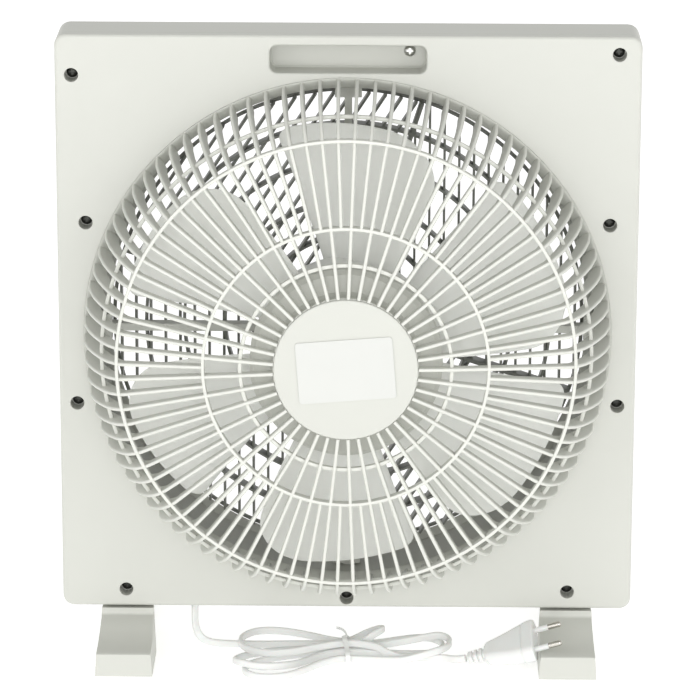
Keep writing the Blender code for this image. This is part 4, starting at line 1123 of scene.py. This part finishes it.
def make_impeller():
    front, rear = 5, 52
    profile = [
        (4.3, front), (HUB_RADIUS - 6, front), (HUB_RADIUS - 3.2, front + 0.9),
        (HUB_RADIUS - 0.9, front + 3.2)
    ]
    profile += [
        (HUB_RADIUS, front + 6), (HUB_RADIUS, rear - 0.7), (HUB_RADIUS - 0.7, rear),
        (HUB_RADIUS - 1.8, rear)
    ]
    profile += [
        (HUB_RADIUS - 2.4, rear - 0.6), (HUB_RADIUS - 2.4, front + 6), (HUB_RADIUS - 5.5, front + 2.4)
    ]
    profile += [(9, front + 2.4), (9, 24), (4.3, 24)]
    shape = bmesh.new()
    turn(shape, profile, 128)
    for blade in range(BLADE_COUNT):
        add_blade(shape, 60 * blade)
    dress(solid("impeller_six_blades", shape), BLADE, "impeller", "blade", "impeller")
    shape = bmesh.new()
    nut = [(4.3, -3), (10.2, -3), (11, -2.5), (12.8, 4.2), (12.8, 4.7), (4.3, 4.7)]
    turn(shape, nut, 48)
    knurls = bmesh.new()
    for i in range(16):
        angle = math.tau * i / 16
        turn(
            knurls, [(0, -4), (1.1, -4), (1.1, 5.5), (0, 5.5)], 10,
            x=13 * math.cos(angle), z=AXIS_Z + 13 * math.sin(angle),
        )
    made = solid("spinner_nut", shape)
    combine(made, "DIFFERENCE", [knurls])
    dress(made, KNOB, "impeller", "knob", "impeller_nut")


# ---------------------------------------------------------------- louvre wheel

RIM_OUTER, RIM_INNER = 161.5, 159
LOUVRE_HUB = 34
SLAT_PITCH = 10
SLAT_THICKNESS = 1.6
SPOKE_ANGLE = 72
SLAT_ANGLES = (57, 90)
LOUVRE_LOW, LOUVRE_HIGH = -50, -36


def slat_spans(spoke_angle, slat_angle, offset, inner, outer):
    """The stretches of a straight line that lie in the quarter after a spoke, between two radii."""
    if abs(offset) >= outer:
        return []
    run = Vector((math.cos(slat_angle), math.sin(slat_angle)))
    normal = Vector((-run.y, run.x))
    start, end = -math.sqrt(outer**2 - offset**2), math.sqrt(outer**2 - offset**2)
    for angle in (spoke_angle, spoke_angle + math.pi / 2):
        spoke = Vector((math.cos(angle), math.sin(angle)))
        slope, rest = run.dot(spoke), normal.dot(spoke) * offset
        if slope > 1e-6:
            start = max(start, -rest / slope)
        elif slope < -1e-6:
            end = min(end, -rest / slope)
        elif rest < 0:
            return []
    half_hub = math.sqrt(max(0.0, inner**2 - offset**2))
    spans = [(start, min(end, -half_hub)), (max(start, half_hub), end)] if half_hub else [(start, end)]
    return [found for found in spans if found[1] - found[0] > 6]


def add_plate(shape, angle, offset, start, end, half, low, high):
    """A thin upright plate along a direction, counted as seen from the rear, with rounded long edges."""
    run = Vector((-math.cos(angle), 0, math.sin(angle)))
    side = Vector((math.sin(angle), 0, math.cos(angle)))
    rings = []
    for along in (start, end):
        middle = run * along + side * offset + Vector((0, 0, AXIS_Z))
        corners = eased([(-half, low), (half, low), (half, high), (-half, high)], half * 0.8, 2)
        rings.append([middle + side * point.x + Vector((0, point.y, 0)) for point in corners])
    loft(shape, rings)


def make_louvre():
    """The wheel in the front opening, whose slats change direction from one quarter to the next."""
    shape = bmesh.new()
    low, high = LOUVRE_LOW, LOUVRE_HIGH
    hub = [
        (3.3, high), (LOUVRE_HUB - 1, high), (LOUVRE_HUB, high - 1), (LOUVRE_HUB, low),
        (LOUVRE_HUB - 2.5, low)
    ]
    hub += [(LOUVRE_HUB - 2.5, high - 2.5), (3.3, high - 2.5)]
    turn(shape, hub, 72)
    rim_top = low + 2.6
    rim = eased([(RIM_INNER, rim_top), (RIM_OUTER, rim_top), (RIM_OUTER, low), (RIM_INNER, low)], 0.7, 2)
    turn(shape, [tuple(point) for point in rim], 144)
    for radius in (60, 84, 112, 138):
        ring = eased(
            [(radius - 0.9, low + 2), (radius + 0.9, low + 2), (radius + 0.9, high), (radius - 0.9, high)],
            0.5, 2
        )
        turn(shape, [tuple(point) for point in ring], 120)
    first_spoke = math.radians(SPOKE_ANGLE)
    for quarter in range(4):
        spoke = first_spoke + math.pi / 2 * quarter
        add_plate(shape, spoke, 0, LOUVRE_HUB - 1, RIM_INNER + 1, 1.5, low + 0.5, high - 0.5)
        slat_angle = math.radians(SLAT_ANGLES[quarter % 2])
        for step in range(-16, 16):
            offset = (step + 0.5) * SLAT_PITCH
            for start, end in slat_spans(spoke, slat_angle, offset, LOUVRE_HUB - 1, RIM_INNER + 1.2):
                add_plate(shape, slat_angle, offset, start, end, SLAT_THICKNESS / 2, low + 1, high - 1)
    dress(solid("louvre_wheel_slats", shape), LOUVRE, "louvre", "louvre", "louvre_wheel")
    cap = bmesh.new()
    profile = [
        (0, -56), (8, -55.9), (16, -55.6), (22, -55.1), (26, -54.2), (28.8, -52.9), (30.2, -51.4),
        (30.5, -50)
    ]
    turn(cap, profile + [(0, -50)], 96)
    dress(solid("louvre_centre_cap", cap), CASING, "louvre", "shell", "louvre_cap")


# ---------------------------------------------------------------- feet


def make_foot(name, node, side):
    """A foot with hollow ramps at both ends, a softened outline and bores. It narrows towards the front."""
    low, high = span(node)
    centre = (low.x + high.x) / 2
    end = high.y - PANEL
    slope = smooth_line([(47, 16.5), (37, 16.9), (27, 18.2), (18, 20.4), (10, 23.3), (-0.2, 26.9)], 3)
    ramp = [(end, 15.6)] + [tuple(point) for point in slope] + [(-1.4, 27.4), (-1.9, 28.6), (-2.0, 31.8)]
    shape = bmesh.new()
    rings = []
    for depth, z in ramp + [(-55 - depth, z) for depth, z in reversed(ramp)]:
        taper = 1 - 0.4 * max(0.0, -2 - depth) / 101
        base, top = 19.5 * taper, (19.5 - 1.65 * min(1.0, z / 27.7)) * taper
        sole = [(centre - base, depth, 0), (centre + base, depth, 0)]
        rings.append(sole + [(centre + top, depth, z), (centre - top, depth, z)])
    loft(shape, rings)
    foot = solid(name, shape)
    pad = block((centre - 14, -50, 30), (centre + 14, -11, BOTTOM - GAP))
    combine(foot, "UNION", [pad])
    cuts = []
    for i in range(1, 5):
        middle = (span(f"foot_screw_{i}")[0] + span(f"foot_screw_{i}")[1]) / 2
        if middle.x * side > 0:
            for radius, bottom, top in ((4.6, -5, 22), (2.1, 10, 40)):
                cutter = bmesh.new()
                turn(
                    cutter, [(0, bottom), (radius, bottom), (radius, top), (0, top)], 32,
                    x=middle.x, z=middle.y - PANEL, upright=True,
                )
                cuts.append(cutter)
    combine(foot, "DIFFERENCE", cuts)
    soften(foot, 1.1, 3, 50)
    settle(foot)
    return dress(foot, CASING, "housing", "shell", node, angle=30)


# ---------------------------------------------------------------- controls


def make_knob(name, node, body):
    """A rotary knob: a knurled skirt, a raised grip bar and a moulded pointer line."""
    low, high = span(node)
    x, z = (low.x + high.x) / 2, (low.z + high.z) / 2
    face = high.y - PANEL
    profile = [
        (3.3, face), (18.6, face), (19, face - 0.4), (18.7, face - 3.6), (18.2, face - 4.8),
        (16.8, face - 5.8)
    ]
    profile += [(15.6, face - 6.2), (3.3, face - 6.2)]
    shape = bmesh.new()
    turn(shape, profile, 96, x=x, z=z)
    knob = solid(name, shape)
    grip = bmesh.new()
    rings = []
    for depth, shrink in (
        (face - 5, 0), (face - 12, 0.3), (face - 15.6, 0.7), (face - 16.6, 1.2), (face - 17, 2.2)
    ):
        outline = rounded_rectangle(4.6 - shrink, 16 - shrink, max(1.8, 3.4 - shrink), 5)
        rings.append([(x + a, depth, z + b) for a, b in outline])
    loft(grip, rings)
    combine(knob, "UNION", [grip])
    cuts = [rod(3.3, face - 14, face + 1, 32, x=x, z=z)]
    cuts.append(block((x - 0.5, face - 18, z + 3), (x + 0.5, face - 16.5, z + 14.5)))
    for i in range(36):
        angle = math.tau * i / 36
        place = {"x": x + 19.25 * math.cos(angle), "z": z + 19.25 * math.sin(angle)}
        cuts.append(rod(0.7, face - 4.6, face - 0.9, 8, **place))
    combine(knob, "DIFFERENCE", cuts)
    dress(knob, KNOB, body, "knob", node, angle=35)


def make_dial_marks(name, centre_x, angles, long_every):
    """Printed ticks round a knob, the long ones at its settings.

    Angles are clockwise from the top, as seen from the front.
    """
    shape = bmesh.new()
    for i, degrees in enumerate(angles):
        angle = math.radians(degrees)
        outward = Vector((math.sin(angle), 0, math.cos(angle)))
        side = Vector((math.cos(angle), 0, -math.sin(angle)))
        reach = 26.2 if i % long_every == 0 else 24.8
        rings = []
        for depth in (FRONT - 0.08, FRONT + 0.2):
            corners = [(23, -0.35), (reach, -0.35), (reach, 0.35), (23, 0.35)]
            rings.append([Vector((centre_x, depth, KNOB_Z)) + outward * a + side * b for a, b in corners])
        loft(shape, rings)
    dress(solid(name, shape), INK, "housing", "black")


def make_numbers(name, centre_x, labels):
    """Printed numbers round a dial: (text, degrees clockwise from the top)."""
    parts = []
    for i, (words, degrees) in enumerate(labels):
        angle = math.radians(degrees)
        text = bpy.data.curves.new(f"{name}_{i}", "FONT")
        text.body = words
        text.size = 4.6 * MM
        text.extrude = 0.05 * MM
        text.align_x, text.align_y = "CENTER", "CENTER"
        obj = bpy.data.objects.new(f"{name}_{i}", text)
        bpy.context.scene.collection.objects.link(obj)
        bpy.context.view_layer.update()
        mesh = bpy.data.meshes.new_from_object(obj.evaluated_get(bpy.context.evaluated_depsgraph_get()))
        bpy.data.objects.remove(obj)
        place = (
            (centre_x + 30 * math.sin(angle)) * MM, (PANEL + FRONT - 0.03) * MM,
            (KNOB_Z + 30 * math.cos(angle)) * MM
        )
        mesh.transform(Matrix.Translation(place) @ Matrix.Rotation(math.pi / 2, 4, "X"))
        parts.append(mesh)
    shape = bmesh.new()
    for mesh in parts:
        shape.from_mesh(mesh)
    bmesh.ops.remove_doubles(shape, verts=shape.verts, dist=1e-7)
    bmesh.ops.transform(
        shape, matrix=Matrix.Translation((0, -PANEL, 0)) @ Matrix.Scale(1 / MM, 4), verts=shape.verts
    )
    dress(solid(name, shape), INK, "housing", "black")


def make_controls():
    make_knob("speed_dial", "speed_knob", "speed_knob")
    make_knob("timer_dial", "timer_knob", "timer_knob")
    make_dial_marks("speed_marks", KNOB_X, [0, 45, 90, 135], 1)
    make_dial_marks("timer_marks", -KNOB_X, [30 * i for i in range(11)], 2)
    make_numbers("speed_numbers", KNOB_X, [(str(i), 45 * i) for i in range(4)])
    make_numbers("timer_numbers", -KNOB_X, [(str(15 * i), 60 * i) for i in range(6)])


# ---------------------------------------------------------------- carried-over parts


def refinish():
    """Gives every CAD part that is still shown its own finish, with its hard edges softened."""
    finishes = {
        CASING: (["motor_mount", "louvre_bracket"], 0.5),
        CASTING: (["motor_rear_bell", "motor_front_bell"], 0.5),
        STACK: (["motor_stator", "motor_rotor"], 0.2),
        COPPER: (["winding_rear", "winding_front"], 1.6),
        STEEL: (
            [
                "bearing_rear", "bearing_front", "motor_shaft", "louvre_shaft", "speed_spindle",
                "timer_spindle"
            ], 0.25
        ),
        BLACK: (
            ["speed_switch", "timer_switch", "louvre_switch", "louvre_gear_motor", "run_capacitor"], 0.4
        ),
        KNOB: (["louvre_rocker"], 0.35),
    }
    for finish, (names, edge) in finishes.items():
        for name in names:
            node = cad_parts[name]
            for place in node.material_slots:
                place.material = finish
            soften(node, edge, 2, 35)


# ---------------------------------------------------------------- everything in its order

make_camera()
make_studio()
make_lead(make_plug())
make_tie()
make_relief()
make_rear_casing()
make_front_casing()
make_guard()
make_cap_and_label()
make_impeller()
make_louvre()
make_foot("foot_left_moulding", "foot_left", 1)
make_foot("foot_right_moulding", "foot_right", -1)
for number, screw_node in enumerate(SCREW_NODES, 1):
    cross_screw(f"casing_screw_{number}", screw_node)
cross_screw("handle_screw", "recess_screw")
for number in range(1, 5):
    cross_screw(f"mount_screw_{number}", f"motor_screw_{number}")
    cross_screw(f"sole_screw_{number}", f"foot_screw_{number}", upright=True)
make_controls()
refinish()
